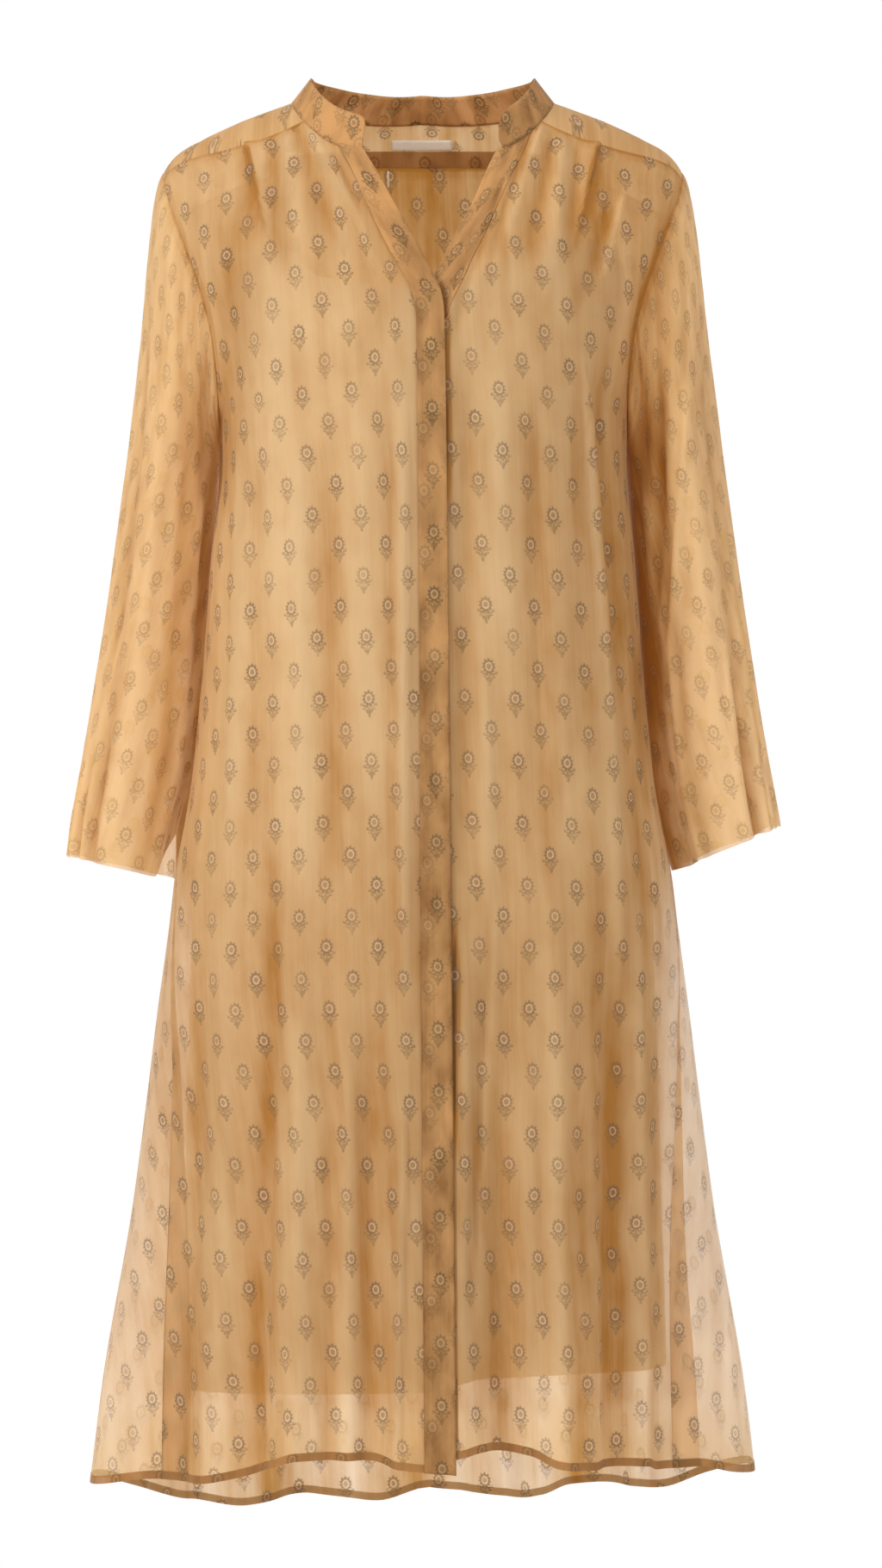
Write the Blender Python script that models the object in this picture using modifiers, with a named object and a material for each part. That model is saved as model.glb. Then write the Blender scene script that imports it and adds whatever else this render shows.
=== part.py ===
"""Tunic top: a sheer, long-sleeved, A-line tunic with a stand collar, a V neck and an inner slip.

The garment hangs in its worn shape. +Z is up, the front faces -Y and the wearer's right is at -X.
The origin is between the two shoulder points of the neck seam, where the wearer's shoulders carry it.
Sizes are in millimetres and become metres in add_wall().
"""

import math
from collections import namedtuple

import bmesh
import bpy
from mathutils import Vector

MM = 0.001

# Walls and seams
CLOTH = 1.2
DOUBLED = 1.6
SEAM = 0.25
ARMHOLE_SEAM = 0.9
SLEEVE_SET_TOP = 1.3
SLEEVE_SET_UNDER = 2.4
YOKE_SEAM = 1
COLLAR_SEAM = 2

# Body: horizontal sections. half_width and flare add up to the side, front and back are the depths
# at the centre.
Section = namedtuple("Section", "z half_width flare front back")
SECTIONS = (
    Section(-56, 226, 0, 120, 113),
    Section(-91, 218, 0, 120, 113),
    Section(-124, 205, 0, 120, 113),
    Section(-158, 190, 0, 122, 112),
    Section(-200, 177, 0, 124, 110),
    Section(-242, 167.5, 0, 123, 107),
    Section(-256, 165.5, 0, 122, 106),
    Section(-300, 165.5, 0, 118, 104),
    Section(-363, 171.5, 0, 115, 104),
    Section(-460, 179, 0, 117, 108),
    Section(-545, 187, 0, 122, 114),
    Section(-640, 201, 2, 129, 124),
    Section(-755, 206, 12, 136, 136),
    Section(-895, 208, 28, 143, 150),
    Section(-1035, 210, 50, 149, 163),
    Section(-1170, 212, 64, 153, 173),
)
ROUNDNESS = 2.4
FLARE_FROM = 0.88
FLARE_POWER = 1.5
FACING_DEPTH = 130

# Shoulders: the ridge that the cloth arches over, by distance from the centre.
Ridge = namedtuple("Ridge", "x z")
RIDGE = (
    Ridge(0, 24),
    Ridge(50, 17),
    Ridge(80, 9),
    Ridge(105, 0),
    Ridge(126, -7.5),
    Ridge(145, -14.5),
    Ridge(161, -21.5),
    Ridge(177, -28.5),
    Ridge(191, -36),
    Ridge(200, -42.5),
    Ridge(206, -49),
    Ridge(210, -56),
    Ridge(226, -92),
)
ARCH_FROM = -150
ARCH_ROUNDNESS = 2.4
ARCH_FACING = 150

# Armhole: where the seam lies across the body at each level, from the shoulder tip to the underarm.
Armhole = namedtuple("Armhole", "z x")
ARMHOLE = (
    Armhole(-56, 210),
    Armhole(-77, 206),
    Armhole(-91, 201.5),
    Armhole(-107, 195.5),
    Armhole(-124, 189),
    Armhole(-158, 177),
    Armhole(-200, 168),
    Armhole(-242, 165),
    Armhole(-256, 165.5),
)
SHOULDER_TIP = ARMHOLE[0].z
UNDERARM = ARMHOLE[-1].z

# Neck seam, seen from above
NECK_HALF_WIDTH = 105
NECK_FRONT = 105
NECK_BACK = 73
NECK_FRONT_ROUNDNESS = 3.4
NECK_BACK_ROUNDNESS = 2.4
YOKE_NECK_X = 94

# Yoke: the front seam's end on the armhole, its forward bow, and the back seam's levels
YOKE_FRONT_ARMHOLE = -64
YOKE_FRONT_BOW = 15
YOKE_BACK_CENTRE = -39
YOKE_BACK_ARMHOLE = -88
YOKE_BACK_CURVE = 3.5
YOKE_TOP_LEVELS = (-62, -74)
YOKE_LEVELS = (-120, 0)
YOKE_BOW_SHARE = 0.3

# Collar band: its height and inward lean by the turn round the neck, from the front to the back
Stand = namedtuple("Stand", "turn height lean")
COLLAR = (
    Stand(0.15, 29, 0.3),
    Stand(0.3, 28, 0.5),
    Stand(0.46, 25, 0.76),
    Stand(0.56, 26.5, 0.82),
    Stand(0.72, 28.5, 0.85),
    Stand(1, 26, 0.85),
)
# Corner radii of the front ends: top corner on the wearer's right, top and bottom on the left
COLLAR_RIGHT_END_RADIUS = 7
COLLAR_LEFT_END_RADIUS = 19
COLLAR_LEFT_END_LOW_RADIUS = 6
COLLAR_END_CLOSER = 0.6
COLLAR_RIGHT_END_X = -48
COLLAR_LEFT_END_X = 62

# Button bands: edges of the band across the front at each level. The V ends at the neck seam.
Band = namedtuple("Band", "z right_out right_in left_in left_out")
BANDS = (
    Band(-1120, 2, 26, 3, 28),
    Band(-700, -1, 23, 0, 25),
    Band(-190, -4.5, 17.5, -4, 19.5),
    Band(-177, -5.5, 17, -3, 21.5),
    Band(-164, -8.5, 15, -1, 27.5),
    Band(-151, -14.5, 9, 9, 34),
    Band(-138, -22, 2.5, 15.5, 39.5),
    Band(-116, -33.5, -9, 26.5, 50.5),
    Band(-91, -45, -23.5, 40, 61),
    Band(-67, -55.5, -36.5, 50, 72),
    Band(-51, -63.5, -46, 57.5, 80),
    Band(-30, -71, -57, 68, 88),
)
BAND_STEP = 1.9

# Hem levels along the front and the back
Hem = namedtuple("Hem", "x z")
FRONT_HEM_RIGHT = (
    Hem(-268, -1117),
    Hem(-210, -1107),
    Hem(-188, -1107),
    Hem(-145, -1100),
    Hem(-120, -1090),
    Hem(-95, -1082),
    Hem(-40, -1083),
    Hem(-18, -1089),
    Hem(26, -1092),
)
FRONT_HEM_LEFT = (
    Hem(0, -1087),
    Hem(26, -1080),
    Hem(55, -1075),
    Hem(84, -1079),
    Hem(106, -1089),
    Hem(136, -1092),
    Hem(176, -1093),
    Hem(190, -1097),
    Hem(218, -1097),
    Hem(248, -1104),
    Hem(268, -1107),
)
BACK_HEM = (
    Hem(-268, -1119),
    Hem(-234, -1132),
    Hem(-195, -1147),
    Hem(-150, -1157),
    Hem(-105, -1153),
    Hem(-38, -1158),
    Hem(2, -1148),
    Hem(14, -1150),
    Hem(73, -1156),
    Hem(98, -1152),
    Hem(124, -1142),
    Hem(194, -1136),
    Hem(231, -1121),
    Hem(268, -1108),
)

# Largest folds: angle round the body from the centre front (front) or centre back (back), half of
# the width in degrees, the level where the fold starts and how far it stands out at the hem.
Fold = namedtuple("Fold", "angle spread top height")
FRONT_FOLDS = (
    Fold(-57, 9, -620, 9),
    Fold(-38, 8, -760, -9),
    Fold(-24, 9, -560, 9),
    Fold(-10, 8, -700, -8),
    Fold(4, 9, -640, 6),
    Fold(17, 8, -760, -9),
    Fold(31, 9, -560, 10),
    Fold(47, 8, -700, -10),
    Fold(62, 9, -640, 9),
)
BACK_FOLDS = (
    Fold(-58, 9, -640, 10),
    Fold(-41, 8, -620, -10),
    Fold(-25, 9, -520, 12),
    Fold(-9, 8, -600, -9),
    Fold(8, 9, -480, 11),
    Fold(24, 8, -620, -11),
    Fold(40, 9, -560, 12),
    Fold(57, 8, -660, -9),
)
HEM_LEVEL = -1100

# Stitched tucks under the front yoke and the box pleat of the back
TUCK_X = 141
TUCK_DRIFT = -0.22
TUCK_LENGTH = 62
TUCK_WIDTH = 7
TUCK_STEEP_SIDE = 0.35
TUCK_SOFT_SIDE = 1.6
TUCK_FADE_FROM = 0.8
TUCK_HEIGHT = 2.6
PLEAT_X = 11.5
PLEAT_HALF_WIDTH = 7.5
PLEAT_OPENING = 2.5
PLEAT_FLAT_SHARE = 0.7
PLEAT_EDGE_SHARE = 0.45
PLEAT_HEIGHT = 3
PLEAT_LENGTH = 420

# Sleeves: rings from the underarm to the end. outer and inner are across, front and back are the
# depths, and drop is how much lower the inner edge of the ring is than its outer edge. The inner edge
# lies set back, so that the sleeve hangs a little behind the body's side.
Ring = namedtuple("Ring", "z outer inner front back drop")
SLEEVE_RINGS = (
    Ring(-292, 238, 166, 62, 68, 0),
    Ring(-363, 248, 172, 60, 68, 1),
    Ring(-412, 255, 175.5, 58, 67, 2),
    Ring(-460, 262.5, 179.5, 57, 66, 4),
    Ring(-503, 269.5, 182.5, 56, 64, 7),
    Ring(-545, 277.5, 187.5, 54, 62, 11),
    Ring(-580, 284, 196, 50, 58, 16),
)
SLEEVE_END_RIGHT = Ring(-610, 288, 202.5, 47, 54, 21)
SLEEVE_END_LEFT = Ring(-586, 285, 204, 48, 55, 37)
LEFT_SLEEVE_OUT = 4
SLEEVE_MIDDLE_Y = 4
SLEEVE_BACK_SET = 34
CAP_LEAVE = 12
CAP_SWELL = 42
CAP_FALL_UNDER = 20
CAP_FALL_TOP = 30
CAP_ARRIVE = 0.9

# Slip: sections of the inner layer, its top edge and its hem
Slip = namedtuple("Slip", "z half_width front back")
SLIP = (
    Slip(-120, 178, 110, 100),
    Slip(-158, 166, 112, 100),
    Slip(-200, 158, 114, 99),
    Slip(-256, 158, 113, 97),
    Slip(-300, 158.5, 110, 95),
    Slip(-363, 163, 106, 94),
    Slip(-460, 170, 107, 97),
    Slip(-545, 178, 110, 102),
    Slip(-640, 186, 114, 108),
    Slip(-755, 190, 117, 114),
    Slip(-895, 194, 120, 121),
    Slip(-1050, 199, 124, 128),
)
Edge = namedtuple("Edge", "x z")
SLIP_TOP_FRONT = (
    Edge(-178, -200),
    Edge(-166, -180),
    Edge(-150, -152),
    Edge(-128, -129),
    Edge(-99, -129),
    Edge(-92, -145),
    Edge(-60, -154),
    Edge(0, -158),
    Edge(52, -146),
    Edge(64, -136),
    Edge(97, -119),
    Edge(152, -118),
    Edge(160, -135),
    Edge(168, -160),
    Edge(178, -200),
)
SLIP_TOP_BACK = -200
SLIP_TOP_LEVELS = (-240, -100)
SLIP_HEM_RIGHT = -1040
SLIP_HEM_LEFT = -1024
STRAP_X = 117
STRAP_WIDTH = 7
STRAP_INSET = 3.2
STRAP_STEPS = 13
STRAP_LOWEST = -122
STRAP_FRONT_END = -126.5
STRAP_FRONT_SHARE = 0.86
StrapEnd = namedtuple("StrapEnd", "z share")
STRAP_BACK_ENDS = (
    StrapEnd(-150, 0.88),
    StrapEnd(-198.8, 0.83),
)

# Inside the back neck
SEAM_BAND_HEIGHT = 13
SEAM_BAND_HALF_LENGTH = 112
LABEL_X = -1
LABEL_WIDTH = 50
LABEL_HEIGHT = 8
LABEL_LIFT = 0.6
LOOP_X = -29
LOOP_WIDTH = 3
LOOP_LENGTH = 14
LOOP_LIFT = 1
LOOP_STEP = 6
INSIDE_STEP = 2.1
INSIDE_SLOPE = 0.5

# Thin and doubled small walls
COLLAR_WALL = 2
TRIM_WALL = 1

# Grid counts
FRONT_COLUMNS = 11
BAND_COLUMNS = 2
BACK_COLUMNS = 18
BODY_ROWS = 24
ROW_BIAS = 1.35
SLEEVE_SIDES = 18
CAP_RINGS = 6
YOKE_ROWS = 7
COLLAR_COLUMNS = 30
COLLAR_ROWS = 3
SLIP_COLUMNS = 12
SLIP_ROWS = 11
SEAM_BAND_COLUMNS = 12
SEAM_BAND_ROWS = 2
LABEL_COLUMNS = 4
LOOP_ROWS = 2
YOKE_SAMPLES = 24
SOLVE_STEPS = 40

# Colours as linear values
OCHRE = (0.59, 0.34, 0.13, 1)
OCHRE_DENSE = (0.42, 0.21, 0.07, 1)
SLIP_GOLD = (0.62, 0.42, 0.22, 1)
CREAM = (0.75, 0.68, 0.55, 1)


def curve(rows, key, value):
    """A smooth curve through a column of a table, with no overshoot between its rows."""
    rows = sorted(rows, key=lambda row: getattr(row, key))
    places = [getattr(row, key) for row in rows]
    values = [getattr(row, value) for row in rows]
    steps = [b - a for a, b in zip(places, places[1:])]
    rises = [(b - a) / step for a, b, step in zip(values, values[1:], steps)]
    slopes = [rises[0]]
    for before, after in zip(rises, rises[1:]):
        slopes.append(2 * before * after / (before + after) if before * after > 0 else 0)
    slopes.append(rises[-1])

    def at(place):
        if place <= places[0]:
            return values[0]
        if place >= places[-1]:
            return values[-1]
        i = next(k for k, end in enumerate(places[1:]) if place <= end)
        t = (place - places[i]) / steps[i]
        return (
            values[i] * (1 + 2 * t) * (1 - t) ** 2
            + values[i + 1] * t * t * (3 - 2 * t)
            + steps[i] * (slopes[i] * t * (1 - t) ** 2 - slopes[i + 1] * t * t * (1 - t))
        )

    return at


half_width = curve(SECTIONS, "z", "half_width")
flare = curve(SECTIONS, "z", "flare")
front_depth = curve(SECTIONS, "z", "front")
back_depth = curve(SECTIONS, "z", "back")
ridge = curve(RIDGE, "x", "z")
armhole_x = curve(ARMHOLE, "z", "x")
slip_half_width = curve(SLIP, "z", "half_width")
slip_front = curve(SLIP, "z", "front")
slip_back = curve(SLIP, "z", "back")
collar_height = curve(COLLAR, "turn", "height")
collar_lean = curve(COLLAR, "turn", "lean")
slip_top = curve(SLIP_TOP_FRONT, "x", "z")
front_hem_right = curve(FRONT_HEM_RIGHT, "x", "z")
front_hem_left = curve(FRONT_HEM_LEFT, "x", "z")
back_hem = curve(BACK_HEM, "x", "z")


def mix(a, b, share):
    return a + (b - a) * share


def smooth(share):
    share = min(max(share, 0), 1)
    return share * share * (3 - 2 * share)


def root(value, power):
    return max(value, 0) ** (1 / power)


def arch(x, z):
    """How much of the depth is left at this level, where the cloth arches over the shoulders."""
    if z <= ARCH_FROM:
        return 1
    rise = (z - ARCH_FROM) / (ridge(abs(x)) - ARCH_FROM)
    return root(1 - min(rise, 1) ** ARCH_ROUNDNESS, ARCH_ROUNDNESS)


def depth_at(x, z, side):
    """Distance of the body's surface from the middle plane. side is -1 in front and 1 at the back."""
    depth = front_depth(z) if side < 0 else back_depth(z)
    share = min(abs(x) / half_width(z), 1)
    return depth * root(1 - share**ROUNDNESS, ROUNDNESS) * arch(x, z)


def level_at(x, y):
    """Height of the body's surface over the shoulders, at a place seen from above."""
    side = -1 if y < 0 else 1
    low, high = ARCH_FROM, ridge(abs(x))
    for _ in range(SOLVE_STEPS):
        middle = (low + high) / 2
        if depth_at(x, middle, side) > abs(y):
            low = middle
        else:
            high = middle
    return low


def fold_height(angle, z, side):
    """How far the folds move the cloth out at this angle from the centre, in degrees."""
    height = 0
    for fold in FRONT_FOLDS if side < 0 else BACK_FOLDS:
        grown = smooth((fold.top - z) / (fold.top - HEM_LEVEL))
        away = (angle - fold.angle) / fold.spread
        height += fold.height * grown * math.exp(-away * away)
    return height


def tuck_height(x, z):
    """Ridge of the stitched tuck, which fades out below its stitching."""
    below = level_of_yoke(abs(x)) - z
    line = TUCK_X + TUCK_DRIFT * below
    away = (line - abs(x)) / TUCK_WIDTH
    if not -TUCK_STEEP_SIDE < away < TUCK_SOFT_SIDE:
        return 0
    if away < 0:
        shape = smooth(away / TUCK_STEEP_SIDE + 1)
    else:
        shape = 1 - smooth(away / TUCK_SOFT_SIDE)
    return TUCK_HEIGHT * shape * (1 - smooth(below / TUCK_LENGTH - TUCK_FADE_FROM))


def pleat_height(x, z):
    """Flat ridge of the box pleat, which opens out below the yoke."""
    below = YOKE_BACK_CENTRE - z
    spread = PLEAT_HALF_WIDTH * (1 + PLEAT_OPENING * smooth(below / PLEAT_LENGTH))
    shape = 1 - smooth((abs(x - PLEAT_X) / spread - PLEAT_FLAT_SHARE) / PLEAT_EDGE_SHARE)
    return PLEAT_HEIGHT * shape * (1 - smooth(below / PLEAT_LENGTH))


def angle_at(x, z):
    """Angle whose point on the section lies this far across, from 0 at the centre to 1 at the side."""
    share = min(abs(x) / half_width(z), 1)
    return math.copysign(math.asin(share ** (ROUNDNESS / 2)) / (math.pi / 2), x)


def body_point(turn, z, side, out=0):
    """Point of the body's middle surface. turn runs from -1 to 1 across the front or the back."""
    angle = abs(turn) * math.pi / 2
    share = math.sin(angle) ** (2 / ROUNDNESS)
    x = math.copysign(half_width(z) * share, turn)
    y = side * depth_at(x, z, side)
    if side < 0:
        out += tuck_height(x, z)
    else:
        out += pleat_height(x, z)
    out += fold_height(90 * turn, z, side) * math.cos(angle) ** 0.5
    flared = smooth((share - FLARE_FROM) / (1 - FLARE_FROM)) ** FLARE_POWER
    x += math.copysign(flare(z) * flared, turn)
    step = Vector((x / half_width(z) ** 2, side * math.cos(angle) / FACING_DEPTH, 0)).normalized()
    if z > ARCH_FROM:
        step.z = (z - ARCH_FROM) / ARCH_FACING
        step.normalize()
    return Vector((x, y, z)) + out * step


def neck_point(turn):
    """Point of the neck seam. turn is 0 at the centre front, 0.5 at the shoulder, 1 at the back."""
    angle = abs(turn) * math.pi
    power = NECK_FRONT_ROUNDNESS if abs(turn) < 0.5 else NECK_BACK_ROUNDNESS
    depth = NECK_FRONT if abs(turn) < 0.5 else NECK_BACK
    x = NECK_HALF_WIDTH * abs(math.sin(angle)) ** (2 / power)
    y = -math.copysign(depth * abs(math.cos(angle)) ** (2 / power), math.cos(angle))
    return Vector((math.copysign(x, turn), y, level_at(x, y)))


def neck_turn(x):
    """Turn of the neck seam's point this far across, on its front half."""
    share = (abs(x) / NECK_HALF_WIDTH) ** (NECK_FRONT_ROUNDNESS / 2)
    return math.copysign(math.asin(share) / math.pi, x)


def armhole_point(hand, z, side):
    x = armhole_x(z)
    return Vector((hand * x, side * depth_at(x, z, side), z))


def yoke_seam(hand, share):
    """Point of the front yoke seam, from the neck to the armhole."""
    start = neck_point(hand * abs(neck_turn(YOKE_NECK_X)))
    end = armhole_point(hand, YOKE_FRONT_ARMHOLE, -1)
    point = start.lerp(end, share)
    point.y -= YOKE_FRONT_BOW * 4 * share * (1 - share)
    point.z = level_at(abs(point.x), point.y)
    return point


SEAM_SAMPLES = [yoke_seam(1, k / YOKE_SAMPLES) for k in range(YOKE_SAMPLES + 1)]


def level_of_yoke(x):
    """Level of the panels' top edge in front: the neck seam near the centre, then the yoke seam."""
    if x < YOKE_NECK_X:
        return neck_point(abs(neck_turn(x))).z
    for a, b in zip(SEAM_SAMPLES, SEAM_SAMPLES[1:]):
        if x <= b.x:
            return mix(a.z, b.z, (x - a.x) / (b.x - a.x))
    return SEAM_SAMPLES[-1].z


def back_yoke_level(x):
    share = abs(x) / armhole_x(YOKE_BACK_ARMHOLE)
    return mix(YOKE_BACK_CENTRE, YOKE_BACK_ARMHOLE, share**YOKE_BACK_CURVE)


def solve(gap, low, high):
    """Level between low and high where gap(z) turns from negative to positive."""
    for _ in range(SOLVE_STEPS):
        middle = (low + high) / 2
        if gap(middle) < 0:
            low = middle
        else:
            high = middle
    return low


def side_turn(z):
    """Turn where a body panel ends: the side seam, and above the underarm the armhole seam."""
    return 1 if z <= UNDERARM else angle_at(armhole_x(z), z)


def rows_from_hem(count):
    """Shares of the height from 0 at the hem to 1 at the top, closer together near the top."""
    return [1 - (1 - k / count) ** ROW_BIAS for k in range(count + 1)]


def front_grid(hand, inner, outer, columns, out=0):
    """Grid on the front between two edges, given as turns at a level, from the hem to the top edge."""
    hem_at = front_hem_right if hand < 0 else front_hem_left
    grid = []
    for k in range(columns + 1):
        share = k / columns

        def turn(z, share=share):
            return mix(inner(z), outer(z), share)

        def across(z, turn=turn):
            return half_width(z) * math.sin(abs(turn(z)) * math.pi / 2) ** (2 / ROUNDNESS)

        top = solve(lambda z, across=across: z - level_of_yoke(across(z)), *YOKE_LEVELS)
        hem = hem_at(body_point(turn(HEM_LEVEL), HEM_LEVEL, -1).x)
        levels = [mix(hem, top, share) for share in rows_from_hem(BODY_ROWS)]
        grid.append([body_point(turn(z), z, -1, out) for z in levels])
    return grid


def pull_in(grid, first=0.0, last=0.0, bottom=0.0, top=0.0):
    """Moves the grid's edges in along its own surface, which leaves the seam gaps."""
    columns = [list(column) for column in grid]
    for column, source in zip(columns, grid):
        column[0] = source[0] + (source[1] - source[0]).normalized() * bottom
        column[-1] = source[-1] + (source[-2] - source[-1]).normalized() * top
    for k in range(len(columns[0])):
        ahead = (columns[1][k] - columns[0][k]).normalized() * first
        behind = (columns[-2][k] - columns[-1][k]).normalized() * last
        columns[0][k] = columns[0][k] + ahead
        columns[-1][k] = columns[-1][k] + behind
    return columns


def material(name, colour, roughness=0.8):
    made = bpy.data.materials.get(name)
    if made is None:
        made = bpy.data.materials.new(name)
        made.use_nodes = True
        shader = made.node_tree.nodes["Principled BSDF"]
        shader.inputs["Base Color"].default_value = colour
        shader.inputs["Roughness"].default_value = roughness
        shader.inputs["Metallic"].default_value = 0
    return made


def add_wall(name, grid, wall, look, closed=False):
    """Adds an object whose wall has the grid's surface in its middle. A closed grid joins up."""
    mesh = bpy.data.meshes.new(name)
    shape = bmesh.new()
    columns = [[shape.verts.new(point * MM) for point in column] for column in grid]
    pairs = list(zip(columns, columns[1:]))
    if closed:
        pairs.append((columns[-1], columns[0]))
    for left, right in pairs:
        for k in range(len(left) - 1):
            shape.faces.new((left[k], right[k], right[k + 1], left[k + 1]))
    bmesh.ops.recalc_face_normals(shape, faces=shape.faces)
    shape.to_mesh(mesh)
    shape.free()
    mesh.shade_smooth()
    made = bpy.data.objects.new(name, mesh)
    mesh.materials.append(look)
    GARMENT.objects.link(made)
    thicken = made.modifiers.new("wall", "SOLIDIFY")
    thicken.thickness = wall * MM
    thicken.offset = 0
    thicken.use_even_offset = True
    return made


def build_fronts():
    """Two front panels and the two bands that finish the V neck and the front opening."""
    right_out = curve(BANDS, "z", "right_out")
    right_in = curve(BANDS, "z", "right_in")
    left_in = curve(BANDS, "z", "left_in")
    left_out = curve(BANDS, "z", "left_out")
    panels = (
        ("front_right", -1, right_out),
        ("front_left", 1, left_out),
    )
    for name, hand, edge in panels:
        grid = front_grid(
            hand,
            lambda z, edge=edge: angle_at(edge(z), z),
            lambda z, hand=hand: hand * side_turn(z),
            FRONT_COLUMNS,
        )
        add_wall(name, pull_in(grid, SEAM, ARMHOLE_SEAM, 0, 2 * SEAM), CLOTH, SHEER)
    bands = (
        ("placket_right", -1, right_out, right_in, BAND_STEP),
        ("placket_left", 1, left_out, left_in, -BAND_STEP),
    )
    for name, hand, outer, inner, step in bands:
        grid = front_grid(
            hand,
            lambda z, inner=inner: angle_at(inner(z), z),
            lambda z, outer=outer: angle_at(outer(z), z),
            BAND_COLUMNS,
            step,
        )
        add_wall(name, pull_in(grid, 0, SEAM, 0, 2 * SEAM), DOUBLED, DENSE)


def back_grid(columns):
    grid = []
    for k in range(columns + 1):
        share = 2 * k / columns - 1

        def turn(z, share=share):
            return share * side_turn(z)

        def across(z, turn=turn):
            return half_width(z) * math.sin(abs(turn(z)) * math.pi / 2) ** (2 / ROUNDNESS)

        top = solve(lambda z, across=across: z - back_yoke_level(across(z)), *YOKE_LEVELS)
        hem = back_hem(body_point(turn(HEM_LEVEL), HEM_LEVEL, 1).x)
        levels = [mix(hem, top, share) for share in rows_from_hem(BODY_ROWS)]
        grid.append([body_point(turn(z), z, 1) for z in levels])
    return grid


def build_back():
    grid = back_grid(BACK_COLUMNS)
    add_wall("back", pull_in(grid, ARMHOLE_SEAM, ARMHOLE_SEAM, 0, 2 * SEAM), CLOTH, SHEER)
    return [column[-1] for column in grid]


def build_yoke(back_edge):
    """One piece round the neck: its outer edge is the armhole tops and the back panel's top edge."""
    tops = [SHOULDER_TIP, -60, YOKE_FRONT_ARMHOLE]
    right = [armhole_point(-1, z, -1) for z in reversed(tops)]
    right += [armhole_point(-1, z, 1) for z in YOKE_TOP_LEVELS]
    left = [Vector((-p.x, p.y, p.z)) for p in reversed(right)]
    outer = right + back_edge + left
    start = abs(neck_turn(YOKE_NECK_X))
    lengths = [0]
    for a, b in zip(outer, outer[1:]):
        lengths.append(lengths[-1] + (b - a).length)
    grid = []
    for point, length in zip(outer, lengths):
        share = length / lengths[-1]
        turn = mix(-start, -2 + start, share)
        if turn < -1:
            turn += 2
        neck = neck_point(turn)
        ahead = 1 - abs(2 * share - 1)
        column = []
        for k in range(YOKE_ROWS + 1):
            across = 1 - (1 - k / YOKE_ROWS) ** ROW_BIAS
            place = neck.lerp(point, across)
            bow = 1 - smooth(ahead / YOKE_BOW_SHARE)
            place.y -= YOKE_FRONT_BOW * 4 * across * (1 - across) * bow
            if 0 < k < YOKE_ROWS:
                place.z = level_at(abs(place.x), place.y)
            column.append(place)
        grid.append(column)
    add_wall("yoke", pull_in(grid, YOKE_SEAM, YOKE_SEAM, 2 * SEAM, 3 * SEAM), CLOTH, SHEER)


def corner_rise(radius, away):
    """Height that a round corner takes off an edge this far from its end."""
    drop = max(radius - away, 0)
    return radius - math.sqrt(radius**2 - drop**2)


def build_collar():
    """Stand band on the neck seam, leaning in, with round front corners."""
    start = neck_turn(COLLAR_RIGHT_END_X)
    end = neck_turn(COLLAR_LEFT_END_X)
    turns = []
    for k in range(COLLAR_COLUMNS + 1):
        share = k / COLLAR_COLUMNS
        share = mix(share, smooth(share), COLLAR_END_CLOSER)
        turn = mix(start, end - 2, share)
        turns.append(turn if turn > -1 else turn + 2)
    seam = [neck_point(turn) for turn in turns]
    lengths = [0]
    for a, b in zip(seam, seam[1:]):
        lengths.append(lengths[-1] + (b - a).length)
    grid = []
    for turn, point, length in zip(turns, seam, lengths):
        away = lengths[-1] - length
        height = collar_height(abs(turn))
        height -= corner_rise(COLLAR_RIGHT_END_RADIUS, length)
        height -= corner_rise(COLLAR_LEFT_END_RADIUS, away)
        low = COLLAR_SEAM + corner_rise(COLLAR_LEFT_END_LOW_RADIUS, away)
        outward = Vector((point.x, point.y, 0)).normalized()
        up = (Vector((0, 0, 1)) - collar_lean(abs(turn)) * outward).normalized()
        grid.append([point + up * mix(low, height, k / COLLAR_ROWS) for k in range(COLLAR_ROWS + 1)])
    add_wall("collar", grid, COLLAR_WALL, DENSE)


def sleeve_ring(ring, hand, turn):
    """Point of a sleeve section. turn is 0 at the underarm, 0.25 in front, 0.5 at the outer side."""
    angle = turn * 2 * math.pi
    outer = ring.outer + (LEFT_SLEEVE_OUT if hand > 0 else 0)
    middle = (outer + ring.inner) / 2
    reach = (outer - ring.inner) / 2
    across = middle - reach * math.cos(angle)
    depth = ring.front if math.sin(angle) > 0 else ring.back
    inward = (1 + math.cos(angle)) / 2
    y = SLEEVE_MIDDLE_Y + SLEEVE_BACK_SET * inward - depth * math.sin(angle)
    return Vector((hand * across, y, ring.z - ring.drop * inward))


def armhole_loop(hand, turn):
    """Point of the armhole seam. turn is 0 at the underarm and 0.5 at the shoulder tip."""
    z = mix(UNDERARM, SHOULDER_TIP, (1 - math.cos(turn * 2 * math.pi)) / 2)
    side = -1 if turn < 0.5 else 1
    return armhole_point(hand, z, side)


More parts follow.
